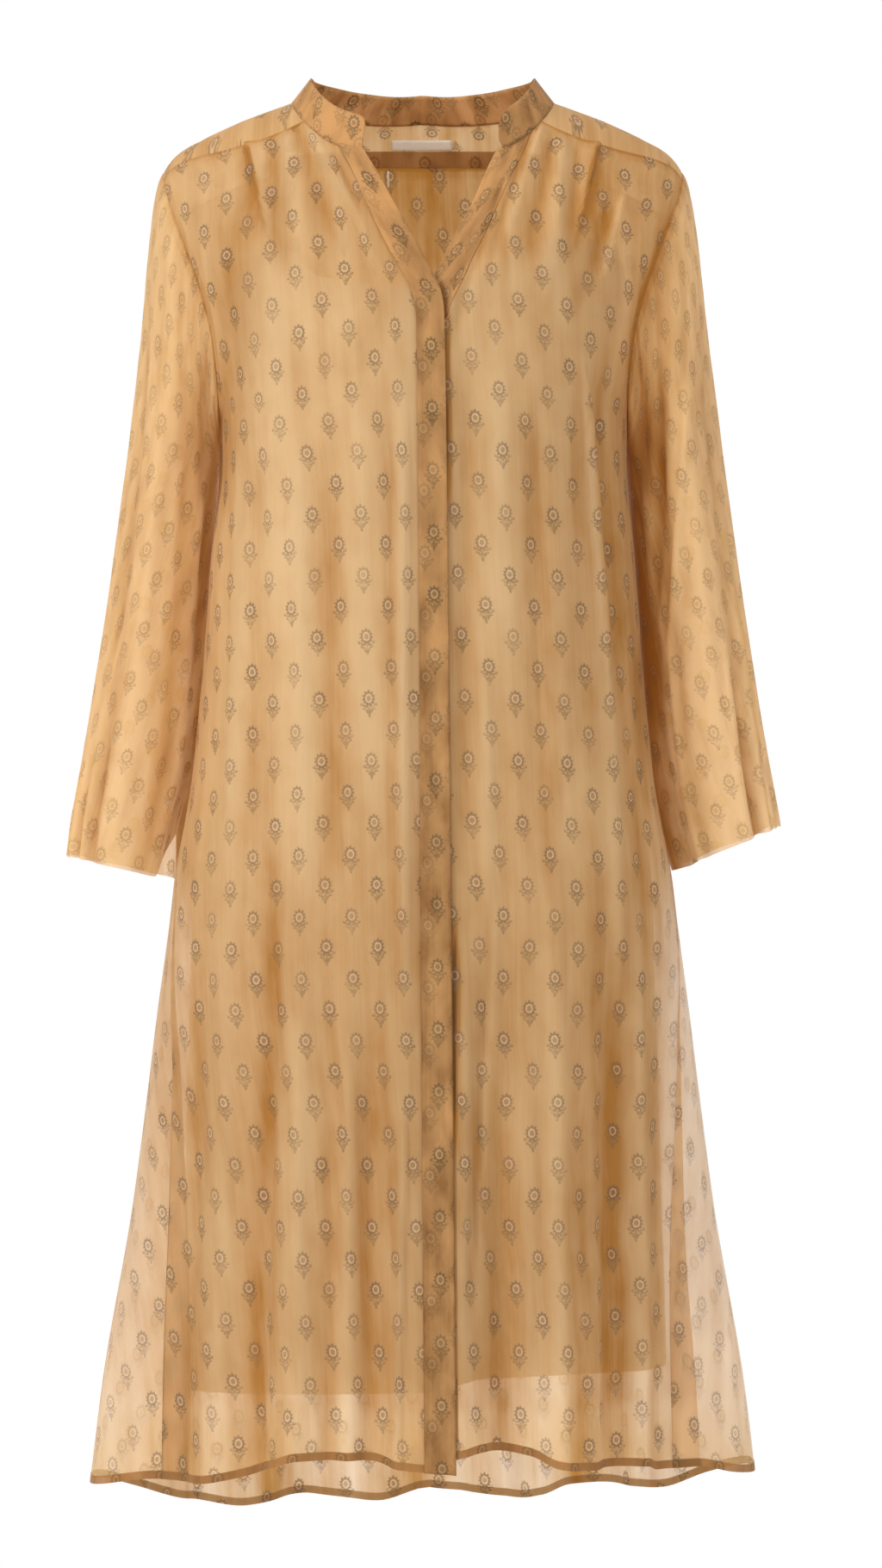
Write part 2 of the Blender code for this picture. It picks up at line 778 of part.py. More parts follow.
def build_sleeve(name, hand, end):
    rings = SLEEVE_RINGS + (end,)
    grid = []
    for k in range(SLEEVE_SIDES):
        turn = k / SLEEVE_SIDES
        start = armhole_loop(hand, turn)
        first = sleeve_ring(rings[0], hand, turn)
        second = sleeve_ring(rings[1], hand, turn)
        lift = (1 - math.cos(turn * 2 * math.pi)) / 2
        swell = mix(CAP_LEAVE, CAP_SWELL, lift)
        leave = Vector((hand * swell, 0, -mix(CAP_FALL_UNDER, CAP_FALL_TOP, lift)))
        arrive = (second - first).normalized() * (first - start).length * CAP_ARRIVE
        line = []
        for j in range(CAP_RINGS):
            t = j / CAP_RINGS
            line.append(
                start * ((1 + 2 * t) * (1 - t) ** 2)
                + first * (t * t * (3 - 2 * t))
                + leave * (t * (1 - t) ** 2)
                - arrive * (t * t * (1 - t))
            )
        line += [sleeve_ring(ring, hand, turn) for ring in rings]
        line[0] = line[0] + Vector((hand * mix(SLEEVE_SET_UNDER, SLEEVE_SET_TOP, lift), 0, 0))
        grid.append(line)
    add_wall(name, grid, CLOTH, SHEER, closed=True)


def slip_point(turn, z, side):
    angle = abs(turn) * math.pi / 2
    depth = slip_front(z) if side < 0 else slip_back(z)
    x = math.copysign(slip_half_width(z) * math.sin(angle) ** (2 / ROUNDNESS), turn)
    return Vector((x, side * depth * math.cos(angle) ** (2 / ROUNDNESS), z))


def build_slip():
    for name, side in (("slip_front", -1), ("slip_back", 1)):
        grid = []
        for k in range(SLIP_COLUMNS + 1):
            turn = 2 * k / SLIP_COLUMNS - 1
            share = math.sin(abs(turn) * math.pi / 2) ** (2 / ROUNDNESS)
            top = SLIP_TOP_BACK
            if side < 0:
                s = math.copysign(share, turn)
                top = solve(lambda z, s=s: z - slip_top(slip_half_width(z) * s), *SLIP_TOP_LEVELS)
            hem = mix(SLIP_HEM_RIGHT, SLIP_HEM_LEFT, (turn + 1) / 2)
            grid.append(
                [slip_point(turn, mix(hem, top, j / SLIP_ROWS), side) for j in range(SLIP_ROWS + 1)]
            )
        add_wall(name, pull_in(grid, 2 * SEAM, 2 * SEAM), CLOTH, LINING)


def build_straps():
    """Straps over the shoulders, just inside the cloth, from the slip's front to its back."""
    for name, hand in (("slip_strap_right", -1), ("slip_strap_left", 1)):
        grid = []
        for shift in (-0.5, 0.5):
            x = STRAP_X + shift * STRAP_WIDTH
            top = ridge(x)
            start = -slip_front(STRAP_FRONT_END) * STRAP_FRONT_SHARE
            line = [Vector((hand * x, start, STRAP_FRONT_END))]
            for k in range(STRAP_STEPS):
                angle = math.pi * (k + 0.5) / STRAP_STEPS
                z = mix(ARCH_FROM, top, math.sin(angle) ** (2 / ARCH_ROUNDNESS)) - STRAP_INSET
                if z < STRAP_LOWEST:
                    continue
                side = -1 if math.cos(angle) > 0 else 1
                y = side * max(depth_at(x, z + STRAP_INSET, side) - STRAP_INSET, 0)
                line.append(Vector((hand * x, y, z)))
            for end in STRAP_BACK_ENDS:
                line.append(Vector((hand * x, slip_back(SLIP_TOP_BACK) * end.share, end.z)))
            grid.append(line)
        add_wall(name, grid, TRIM_WALL, LINING)


def inside_back(x, z, step):
    """Point this far inside the back's middle surface, near the centre back."""
    return Vector((x, depth_at(x, z, 1) - step, z - step * INSIDE_SLOPE))


def build_neck_inside():
    """The seam band inside the back yoke seam, the bare label above it and the loop below."""
    grid = []
    for k in range(SEAM_BAND_COLUMNS + 1):
        x = mix(-SEAM_BAND_HALF_LENGTH, SEAM_BAND_HALF_LENGTH, k / SEAM_BAND_COLUMNS)
        low = back_yoke_level(x)
        levels = [low + SEAM_BAND_HEIGHT * j / SEAM_BAND_ROWS for j in range(SEAM_BAND_ROWS + 1)]
        grid.append([inside_back(x, z, INSIDE_STEP) for z in levels])
    add_wall("yoke_seam_band", grid, CLOTH, DENSE)
    low = YOKE_BACK_CENTRE + SEAM_BAND_HEIGHT + LABEL_LIFT
    grid = []
    for k in range(LABEL_COLUMNS + 1):
        x = LABEL_X + LABEL_WIDTH * (k / LABEL_COLUMNS - 0.5)
        grid.append([inside_back(x, z, INSIDE_STEP) for z in (low, low + LABEL_HEIGHT)])
    add_wall("label", grid, TRIM_WALL, LABEL)
    low = YOKE_BACK_CENTRE - LOOP_LENGTH
    high = YOKE_BACK_CENTRE - LOOP_LIFT
    levels = [mix(low, high, j / LOOP_ROWS) for j in range(LOOP_ROWS + 1)]
    grid = []
    for x in (LOOP_X - LOOP_WIDTH / 2, LOOP_X + LOOP_WIDTH / 2):
        grid.append([inside_back(x, z, LOOP_STEP) for z in levels])
    add_wall("hanger_loop", grid, TRIM_WALL, LABEL)


for old in list(bpy.data.objects):
    bpy.data.objects.remove(old, do_unlink=True)

GARMENT = bpy.data.collections.new("tunic_top")
bpy.context.scene.collection.children.link(GARMENT)
SHEER = material("sheer_ochre_cloth", OCHRE)
DENSE = material("doubled_ochre_cloth", OCHRE_DENSE)
LINING = material("slip_cloth", SLIP_GOLD)
LABEL = material("woven_label", CREAM)

build_fronts()
build_yoke(build_back())
build_collar()
build_sleeve("sleeve_right", -1, SLEEVE_END_RIGHT)
build_sleeve("sleeve_left", 1, SLEEVE_END_LEFT)
build_slip()
build_straps()
build_neck_inside()
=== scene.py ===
"""Tunic top: its sheer printed cloth, doubled bands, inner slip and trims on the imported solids.

Shapes are worked out in millimetres and become metres in shell(). +Z is up, the front faces -Y
and the wearer's right is at -X.
"""

import math

import bpy
import numpy as np
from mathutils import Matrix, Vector


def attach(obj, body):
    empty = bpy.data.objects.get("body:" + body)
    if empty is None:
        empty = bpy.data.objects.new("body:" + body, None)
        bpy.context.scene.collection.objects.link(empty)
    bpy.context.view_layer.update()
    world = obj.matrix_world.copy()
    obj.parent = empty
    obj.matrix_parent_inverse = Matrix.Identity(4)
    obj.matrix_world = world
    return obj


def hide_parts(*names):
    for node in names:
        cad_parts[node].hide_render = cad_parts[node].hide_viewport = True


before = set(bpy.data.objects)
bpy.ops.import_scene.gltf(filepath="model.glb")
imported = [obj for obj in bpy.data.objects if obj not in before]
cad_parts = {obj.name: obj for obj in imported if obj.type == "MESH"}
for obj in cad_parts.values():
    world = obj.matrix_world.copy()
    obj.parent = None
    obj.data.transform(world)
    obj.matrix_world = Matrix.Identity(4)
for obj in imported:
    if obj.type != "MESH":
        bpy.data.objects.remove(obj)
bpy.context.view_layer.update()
bpy.ops.object.select_all(action="DESELECT")
MM = 0.001

# ---------------------------------------------------------------- sizes, as in the part's source
SECTIONS = (  # z, half width, flare, front depth, back depth
    (-56, 226, 0, 120, 113),
    (-91, 218, 0, 120, 113),
    (-124, 205, 0, 120, 113),
    (-158, 190, 0, 122, 112),
    (-200, 177, 0, 124, 110),
    (-242, 167.5, 0, 123, 107),
    (-256, 165.5, 0, 122, 106),
    (-300, 165.5, 0, 118, 104),
    (-363, 171.5, 0, 115, 104),
    (-460, 179, 0, 117, 108),
    (-545, 187, 0, 122, 114),
    (-640, 201, 2, 129, 124),
    (-755, 206, 12, 136, 136),
    (-895, 208, 28, 143, 150),
    (-1035, 210, 50, 149, 163),
    (-1170, 212, 64, 153, 173),
)
RIDGE = (  # x, z
    (0, 24), (50, 17), (80, 9), (105, 0), (126, -7.5), (145, -14.5), (161, -21.5),
    (177, -28.5), (191, -36), (200, -42.5), (206, -49), (210, -56), (226, -92),
)
ARMHOLE = (  # z, x
    (-56, 210), (-77, 206), (-91, 201.5), (-107, 195.5), (-124, 189), (-158, 177),
    (-200, 168), (-242, 165), (-256, 165.5),
)
COLLAR = (  # turn, height, lean
    (0.15, 29, 0.3),
    (0.3, 28, 0.5),
    (0.46, 25, 0.76),
    (0.56, 26.5, 0.82),
    (0.72, 28.5, 0.85),
    (1, 26, 0.85),
)
BANDS = (  # z, right outer edge, right inner, left inner, left outer
    (-1120, 2, 26, 3, 28),
    (-700, -1, 23, 0, 25),
    (-190, -4.5, 17.5, -4, 19.5),
    (-177, -5.5, 17, -3, 21.5),
    (-164, -8.5, 15, -1, 27.5),
    (-151, -14.5, 9, 9, 34),
    (-138, -22, 2.5, 15.5, 39.5),
    (-116, -33.5, -9, 26.5, 50.5),
    (-91, -45, -23.5, 40, 61),
    (-67, -55.5, -36.5, 50, 72),
    (-51, -63.5, -46, 57.5, 80),
    (-30, -71, -57, 68, 88),
)
FRONT_HEM_RIGHT = (
    (-268, -1117), (-210, -1107), (-188, -1107), (-145, -1100), (-120, -1090),
    (-95, -1082), (-40, -1083), (-18, -1089), (26, -1092),
)
FRONT_HEM_LEFT = (
    (0, -1087), (26, -1080), (55, -1075), (84, -1079), (106, -1089), (136, -1092),
    (176, -1093), (190, -1097), (218, -1097), (248, -1104), (268, -1107),
)
BACK_HEM = (
    (-268, -1119), (-234, -1132), (-195, -1147), (-150, -1157), (-105, -1153),
    (-38, -1158), (2, -1148), (14, -1150), (73, -1156), (98, -1152), (124, -1142),
    (194, -1136), (231, -1121), (268, -1108),
)
SLEEVE_RINGS = (  # z, outer, inner, front, back, drop of the inner edge
    (-292, 238, 166, 62, 68, 0),
    (-363, 248, 172, 60, 68, 1),
    (-412, 255, 175.5, 58, 67, 2),
    (-460, 262.5, 179.5, 57, 66, 4),
    (-503, 269.5, 182.5, 56, 64, 7),
    (-545, 277.5, 187.5, 54, 62, 11),
    (-580, 284, 196, 50, 58, 16),
)
SLEEVE_END_RIGHT = (-610, 288, 202.5, 47, 54, 21)
SLEEVE_END_LEFT = (-586, 285, 204, 48, 55, 37)
SLEEVE_BACK_SET, SLEEVE_TURN_UP = 34, 42
SLEEVE_PRINT_TURN = math.radians(10)
SLIP = (  # z, half width, front, back
    (-120, 178, 110, 100),
    (-158, 166, 112, 100),
    (-200, 158, 114, 99),
    (-256, 158, 113, 97),
    (-300, 158.5, 110, 95),
    (-363, 163, 106, 94),
    (-460, 170, 107, 97),
    (-545, 178, 110, 102),
    (-640, 186, 114, 108),
    (-755, 190, 117, 114),
    (-895, 194, 120, 121),
    (-1050, 199, 124, 128),
)
SLIP_TOP_FRONT = (  # x, z
    (-178, -200), (-166, -180), (-150, -152), (-128, -129), (-99, -129), (-92, -145),
    (-60, -154), (0, -158), (52, -146), (64, -136), (97, -119), (152, -118),
    (160, -135), (168, -160), (178, -200),
)
STRAP_X, STRAP_IN = 117, 3.2
ROUND = 2.4
ARCH_FROM = -150
NECK_HALF, NECK_FRONT, NECK_BACK = 105, 105, 73
NECK_FRONT_ROUND, NECK_BACK_ROUND = 3.4, 2.4
YOKE_NECK_X, YOKE_FRONT_ARMHOLE, YOKE_BOW = 94, -64, 15
YOKE_BACK_CENTRE, YOKE_BACK_ARMHOLE, YOKE_BACK_CURVE = -39, -88, 3.5
SHOULDER_POINT = -56.02
# How much longer the sloping yoke is than its plan, across and along
YOKE_SLOPE = (1.08, 1.15)
HEM_LEVEL = -1100
HEM_HEIGHT, HEM_OUT = 6.5, 0.35
TOP_FROM = -120.0
PRINT_LEAN, PRINT_SAG = 0.056, 0.0005

# ---------------------------------------------------------------- creases
FRONT_FOLDS = (  # angle from the centre, half width, both in degrees, start level, height at the hem
    (-57, 9, -620, 9), (-38, 8, -760, -9), (-24, 9, -560, 9), (-10, 8, -700, -8),
    (4, 9, -640, 6), (17, 8, -760, -9), (31, 9, -560, 10), (47, 8, -700, -10),
    (62, 9, -640, 9),
)
BACK_FOLDS = (
    (-58, 9, -640, 10), (-41, 8, -620, -10), (-25, 9, -520, 12), (-9, 8, -600, -9),
    (8, 9, -480, 11), (24, 8, -620, -11), (40, 9, -560, 12), (57, 8, -660, -9),
)
# A crease: x and z at its top and at its foot, half width at each, height (a trough is below 0) and
# lean, which makes its left side (below 0) or its right side (above 0) the steeper one
FRONT_CREASES = (
    # gathers off the neck seam and the bands
    (-97, -14, -58, -92, 3, 7, 3.4, 0.3), (-104, -15, -70, -118, 3, 8, -3.0, 0),
    (-90, -14, -46, -100, 2.5, 6, -2.6, 0), (-84, -22, -34, -150, 2.5, 6, 2.8, 0.3),
    (-112, -18, -92, -130, 3, 9, 2.8, 0), (-122, -22, -112, -150, 3, 9, -2.6, 0),
    (-70, -52, -28, -190, 2.5, 7, -2.4, 0), (98, -16, 66, -120, 3, 8, 3.0, -0.3),
    (90, -18, 50, -140, 3, 7, -2.8, 0), (106, -22, 84, -140, 3, 9, -2.8, 0),
    (114, -26, 100, -160, 3, 9, 2.6, 0), (80, -40, 34, -180, 2.5, 7, 2.6, -0.3),
    (72, -52, 22, -210, 2.5, 6, -2.2, 0), (124, -28, 118, -140, 3, 8, -2.4, 0),
    # bodice: long soft ridges, and the crisp ones at the wearer's left
    (-150, -70, -162, -330, 5, 12, -3.4, 0), (-118, -120, -114, -420, 10, 16, 3.2, 0.2),
    (-97, -240, -91, -640, 8, 12, 5.0, 0.4), (-76, -260, -66, -620, 8, 14, -3.6, 0),
    (-130, -260, -134, -600, 6, 10, -3.2, 0), (-146, -250, -152, -600, 5, 9, 3.4, 0.4),
    (-46, -200, -48, -560, 10, 14, 2.4, 0), (-14, -210, -12, -720, 4.5, 6, 4.6, 0.5),
    (-24, -220, -24, -720, 4, 6, -3.0, 0), (161, -76, 144, -150, 3, 4.5, 3.4, -0.5),
    (150, -84, 128, -170, 5, 8, -2.8, 0), (127, -200, 149, -470, 2.8, 3.8, 6.5, 0.6),
    (137, -210, 160, -480, 4, 7, -4.2, 0), (118, -220, 132, -520, 5, 9, -2.2, 0),
    (60, -190, 66, -460, 9, 14, 2.6, 0), (88, -230, 96, -600, 9, 14, -3.0, 0),
    (36, -230, 34, -620, 6, 9, -2.6, 0), (48, -420, 54, -760, 5, 8, 3.2, -0.4),
    (150, -440, 158, -700, 5, 8, 3.4, 0.4), (172, -420, 180, -700, 5, 8, -3.0, 0),
    # skirt
    (-112, -540, -132, -1130, 8, 13, -8, 0.3), (-92, -560, -97, -1130, 8, 12, 6, 0.3),
    (-152, -560, -160, -1130, 8, 12, 5, 0.3), (-172, -560, -186, -1130, 6, 10, -5, 0),
    (-70, -600, -74, -1130, 6, 9, -4.5, 0), (-56, -620, -58, -1130, 6, 9, 5, 0.3),
    (-38, -640, -44, -1130, 7, 10, -6, 0), (-10, -680, -21, -1130, 2.6, 4, 4.2, 0.5),
    (-28, -700, -30, -1130, 4, 6, -4, 0), (36, -560, 33, -1130, 6, 9, 5, 0.4),
    (57, -600, 36, -980, 2.8, 4.5, -5, 0.6), (62, -700, 62, -1130, 8, 12, -6.5, 0),
    (84, -640, 84, -1130, 7, 9, 4, -0.3), (106, -560, 108, -1130, 9, 13, 6.5, 0.3),
    (124, -700, 126, -1130, 4, 6, -4, 0), (146, -560, 150, -1130, 12, 16, -8, -0.3),
    (172, -620, 176, -1130, 5, 8, 5.5, 0.4), (186, -640, 188, -1130, 4, 7, -4, 0),
)
BACK_CREASES = (
    (-60, -60, -78, -420, 8, 20, 3.4, 0), (-104, -80, -96, -460, 8, 18, -3, 0),
    (52, -60, 74, -440, 8, 20, 3.4, 0), (110, -80, 92, -430, 8, 18, -3, 0),
    (-138, -120, -150, -520, 6, 14, 3.4, 0.3), (140, -120, 152, -500, 6, 14, 3.4, -0.3),
    (-84, -300, -90, -760, 7, 11, -3.6, 0.3), (84, -300, 92, -760, 7, 11, -3.6, -0.3),
    (30, -330, 38, -700, 6, 9, 3, 0.3), (-34, -330, -42, -700, 6, 9, 3, -0.3),
    (0, -420, -8, -1170, 14, 20, -6, 0.3), (-44, -520, -60, -1170, 9, 14, 5, 0.3),
    (60, -520, 70, -1170, 9, 14, 5, -0.3), (-110, -560, -128, -1170, 8, 14, -6, 0),
    (118, -560, 134, -1170, 8, 14, -6, 0), (-158, -600, -180, -1170, 7, 12, 5, 0.3),
    (160, -600, 186, -1170, 7, 12, 5, -0.3), (-84, -620, -94, -1170, 5, 8, 4, 0.3),
    (92, -620, 100, -1170, 5, 8, 4, -0.3), (28, -700, 32, -1170, 5, 8, 4, 0.4),
)
# Creases of a sleeve: turn and level at the top and at the foot, half width in mm, height
SLEEVE_CREASES = (
    (0.24, -120, 0.10, -330, 6, 12, -4), (0.34, -110, 0.20, -360, 7, 14, 3.4),
    (0.42, -130, 0.36, -560, 7, 12, -3.4), (0.30, -200, 0.27, -600, 8, 14, 4.0),
    (0.20, -240, 0.17, -600, 6, 12, -3.6), (0.12, -260, 0.12, -600, 7, 12, 3.6),
    (0.48, -160, 0.46, -600, 5, 9, 3.0), (0.36, -500, 0.34, -610, 3, 5, -3.6),
    (0.39, -520, 0.38, -610, 2, 3.5, 3.6), (0.415, -510, 0.405, -610, 2, 3, -3.4),
    (0.44, -530, 0.43, -610, 2, 3, 3.2), (0.46, -520, 0.455, -610, 2, 3, -3.0),
    (0.62, -130, 0.66, -420, 7, 14, 3.6), (0.72, -120, 0.80, -400, 8, 14, -3.6),
    (0.56, -200, 0.58, -600, 8, 13, -3.4), (0.68, -300, 0.70, -600, 8, 14, 3.4),
    (0.80, -280, 0.80, -600, 7, 12, -3.2), (0.90, -250, 0.90, -600, 7, 12, 3.0),
)
# The wearer's left sleeve also has one long crisp fold off the armhole, and its foot is gathered
LEFT_SLEEVE_CREASES = (
    (0.34, -200, 0.17, -440, 4, 4, 4), (0.25, -200, 0.12, -420, 8, 7, -4),
    (0.34, -420, 0.32, -586, 3, 5, 4.5), (0.37, -440, 0.36, -586, 2.5, 4, -4),
    (0.42, -380, 0.40, -586, 3, 4, 4.5), (0.45, -300, 0.44, -586, 3, 4, -3.5),
)


# ---------------------------------------------------------------- curves and surfaces
def curve(rows, column=1):
    """A smooth curve through a column of a table, with no overshoot between its rows."""
    rows = sorted(rows, key=lambda row: row[0])
    place = np.array([row[0] for row in rows], float)
    value = np.array([row[column] for row in rows], float)
    step = np.diff(place)
    rise = np.diff(value) / step
    product = rise[:-1] * rise[1:]
    total = np.where(product > 0, rise[:-1] + rise[1:], 1)
    slope = np.concatenate([rise[:1], np.where(product > 0, 2 * product / total, 0), rise[-1:]])

    def at(where):
        where = np.clip(where, place[0], place[-1])
        i = np.clip(np.searchsorted(place, where, side="left") - 1, 0, len(step) - 1)
        t = (where - place[i]) / step[i]
        return (
            value[i] * (1 + 2 * t) * (1 - t) ** 2
            + value[i + 1] * t * t * (3 - 2 * t)
            + step[i] * (slope[i] * t * (1 - t) ** 2 - slope[i + 1] * t * t * (1 - t))
        )

    return at


half_width, flare, front_depth, back_depth = (curve(SECTIONS, k) for k in (1, 2, 3, 4))
ridge = curve(RIDGE)
armhole_x = curve(ARMHOLE)
collar_height, collar_lean = curve(COLLAR, 1), curve(COLLAR, 2)
right_out, right_in, left_in, left_out = (curve(BANDS, k) for k in (1, 2, 3, 4))
hem_front_right, hem_front_left = curve(FRONT_HEM_RIGHT), curve(FRONT_HEM_LEFT)
hem_back = curve(BACK_HEM)
SIDE_FOLD_RIGHT = curve(((-1105, 0.738), (-993, 0.744), (-797, 0.762), (-643, 0.879), (-560, 0.97)))
SIDE_FOLD_LEFT = curve(((-1091, 0.752), (-965, 0.752), (-755, 0.798), (-631, 0.96), (-560, 0.985)))
slip_half, slip_front, slip_back = (curve(SLIP, k) for k in (1, 2, 3))
slip_top = curve(SLIP_TOP_FRONT)
fold_line = curve(((-110, 211), (-230, 211), (-330, 206.5), (-440, 200.5), (-520, 197.5)))


def mix(a, b, share):
    return a + (b - a) * share


def smooth(share):
    """A share from 0 to 1, eased at both ends."""
    share = np.clip(share, 0, 1)
    return share * share * (3 - 2 * share)


def grow_past(value, start, over):
    """0 up to a start, then easing to 1 over this much beyond it."""
    return smooth((value - start) / over)


def grow_below(value, start, over):
    """0 down to a start, then easing to 1 over this much below it."""
    return smooth((start - value) / over)


def bell(value):
    """1 at the middle, falling away evenly to both sides."""
    return np.exp(-(value**2))


def root(value):
    return np.maximum(value, 0) ** (1 / ROUND)


def arch(x, z):
    """How much of the depth is left where the cloth arches over the shoulders."""
    rise = np.clip((z - ARCH_FROM) / (ridge(np.abs(x)) - ARCH_FROM), 0, 1)
    return root(1 - rise**ROUND)


def depth_at(x, z, side):
    depth = front_depth(z) if side < 0 else back_depth(z)
    share = np.minimum(np.abs(x) / half_width(z), 1)
    return depth * root(1 - share**ROUND) * arch(x, z)


def solve(gap, low, high):
    """Level between low and high where gap(z) turns from below to above 0, for each column."""
    low, high = np.array(low, float), np.array(high, float)
    for _ in range(36):
        middle = (low + high) / 2
        below = gap(middle) < 0
        low, high = np.where(below, middle, low), np.where(below, high, middle)
    return low


def level_at(x, y):
    """Level of the shoulders' surface over a place."""
    x, y = np.asarray(x, float), np.asarray(y, float)
    low, high = np.full(x.shape, float(ARCH_FROM)), ridge(np.abs(x))
    front = solve(lambda z: np.abs(y) - depth_at(x, z, -1), low, high)
    back = solve(lambda z: np.abs(y) - depth_at(x, z, 1), low, high)
    return np.where(y < 0, front, back)


def neck_point(turn):
    """Points of the neck seam: turn is 0 at the front, 1 or -1 at the back, and below 0 at the right."""
    turn = np.asarray(turn, float)
    angle = np.abs(turn) * math.pi
    front = np.abs(turn) < 0.5
    power = np.where(front, NECK_FRONT_ROUND, NECK_BACK_ROUND)
    depth = np.where(front, NECK_FRONT, NECK_BACK)
    x = np.copysign(NECK_HALF * np.abs(np.sin(angle)) ** (2 / power), turn)
    y = -np.copysign(depth * np.abs(np.cos(angle)) ** (2 / power), np.cos(angle))
    return np.stack([x, y, level_at(x, y)], -1)


def neck_turn(x):
    share = np.minimum(np.abs(x) / NECK_HALF, 1) ** (NECK_FRONT_ROUND / 2)
    return np.copysign(np.arcsin(share) / math.pi, x)


def yoke_seam(share):
    """Points of the front yoke seam on the wearer's left, from the neck to the armhole."""
    share = np.asarray(share, float)[..., None]
    start = neck_point(neck_turn(YOKE_NECK_X))
    x = armhole_x(YOKE_FRONT_ARMHOLE)
    end = np.array([x, -depth_at(x, YOKE_FRONT_ARMHOLE, -1), YOKE_FRONT_ARMHOLE])
    point = start + (end - start) * share
    point[..., 1] -= YOKE_BOW * 4 * share[..., 0] * (1 - share[..., 0])
    point[..., 2] = level_at(point[..., 0], point[..., 1])
    return point


SEAM = yoke_seam(np.linspace(0, 1, 49))
NECK_RUN = neck_point(neck_turn(np.linspace(0, YOKE_NECK_X, 60)))


def level_of_yoke(x):
    near = np.interp(x, NECK_RUN[:, 0], NECK_RUN[:, 2])
    return np.where(x < YOKE_NECK_X, near, np.interp(x, SEAM[:, 0], SEAM[:, 2]))


def back_yoke_level(x):
    share = np.abs(x) / armhole_x(YOKE_BACK_ARMHOLE)
    return mix(YOKE_BACK_CENTRE, YOKE_BACK_ARMHOLE, share**YOKE_BACK_CURVE)


def angle_at(x, z):
    share = np.minimum(np.abs(x) / half_width(z), 1)
    return np.copysign(np.arcsin(share ** (ROUND / 2)) / (math.pi / 2), x)


def side_turn(z):
    return np.where(z <= ARMHOLE[-1][0], 1, angle_at(armhole_x(z), z))


def x_of(turn, z):
    share = np.sin(np.abs(turn) * math.pi / 2) ** (2 / ROUND)
    return np.copysign(half_width(z) * share, turn)


def folds(table, angle, z):
    height = 0
    for centre, spread, top, most in table:
        grown = smooth((top - z) / (top - HEM_LEVEL))
        height = height + most * grown * bell((angle - centre) / spread)
    return height


def creases(table, x, z):
    """Soft ridges and troughs along slanted lines, which grow and fade over their length."""
    height = 0
    for x0, z0, x1, z1, w0, w1, most, lean in table:
        t = (z0 - z) / (z0 - z1)
        fade = smooth(t / 0.5) if z1 < HEM_LEVEL else smooth(t / 0.22) * smooth((1.15 - t) / 0.35)
        inside = np.clip(t, 0, 1)
        away = (x - mix(x0, x1, inside)) / mix(w0, w1, inside)
        away = away * np.where(away * lean > 0, 1 + 1.6 * abs(lean), 1)
        height = height + most * fade * bell(away)
    return height


def ripple(u, v, seed, size):
    """Small uneven waves: a few sines of the given length, drawn once from a seeded list."""
    draw = np.random.default_rng(seed)
    total = 0
    for _ in range(7):
        pitch = size * draw.uniform(0.6, 1.7)
        slant = draw.uniform(-0.22, 0.22)
        phase, drift = draw.uniform(0, 2 * math.pi, 2)
        beat = 0.5 + 0.5 * np.sin(v / (size * draw.uniform(5, 11)) + drift)
        total = total + beat * np.sin(2 * math.pi * (u + slant * v) / pitch + phase)
    return total / 7


def tuck_line(x, z):
    """How far out from the stitched tuck a place lies, and how far below the yoke seam."""
    below = level_of_yoke(np.abs(x)) - z
    return np.abs(x) - (141 - 0.22 * below), below


def tuck(x, z):
    past, below = tuck_line(x, z)
    away = -past / 7
    shape = np.where(away < 0, smooth(away / 0.2 + 1), 1 - smooth(away / 1.6))
    return 3.0 * shape * (1 - smooth(below / 62 - 0.8))


def pleat(x, z):
    below = YOKE_BACK_CENTRE - z
    spread = 7.5 * (1 + 2.5 * smooth(below / 420))
    shape = 1 - smooth((np.abs(x - 11.5) / spread - 0.8) / 0.22)
    return 3 * shape * (1 - smooth(below / 420))


def body(turn, z, side, out=0.0, plain=False):
    """Points of the outer body. turn runs from -1 to 1 across the front or the back."""
    angle = np.abs(turn) * math.pi / 2
    share = np.sin(angle) ** (2 / ROUND)
    x = np.copysign(half_width(z) * share, turn)
    y = side * depth_at(x, z, side)
    if not plain:
        steady = smooth((side_turn(z) - np.abs(turn)) / 0.06)
        top = level_of_yoke(np.abs(x)) if side < 0 else back_yoke_level(x)
        steady = steady * smooth((top - z) / 14)
        if side < 0:
            out = out + tuck(x, z) + steady * creases(FRONT_CREASES, x, z)
            out = out + steady * 0.8 * ripple(x, z, 3, 26)
        else:
            out = out + pleat(x, z) + steady * creases(BACK_CREASES, x, z)
            out = out + steady * 0.8 * ripple(x, z, 5, 30)
    table = FRONT_FOLDS if side < 0 else BACK_FOLDS
    out = out + folds(table, 90 * turn, z) * np.cos(angle) ** 0.5
    x = x + np.copysign(flare(z) * smooth((share - 0.88) / 0.12) ** 1.5, turn)
    # the way the cloth moves out: level on the trunk, and upward over the shoulders
    step = np.stack([x / half_width(z) ** 2, side * np.cos(angle) / 130, np.zeros_like(x)], -1)
    step /= np.linalg.norm(step, axis=-1, keepdims=True)
    step[..., 2] = np.maximum(z - ARCH_FROM, 0) / 150
    step /= np.linalg.norm(step, axis=-1, keepdims=True)
    return np.stack([x, y, z + 0 * x], -1) + np.asarray(out)[..., None] * step


# ---------------------------------------------------------------- grids of points
def rows_from_hem(count):
    """Shares of the length from the hem up, which lie closer toward the top."""
    return 1 - (1 - np.linspace(0, 1, count + 1)) ** 1.15


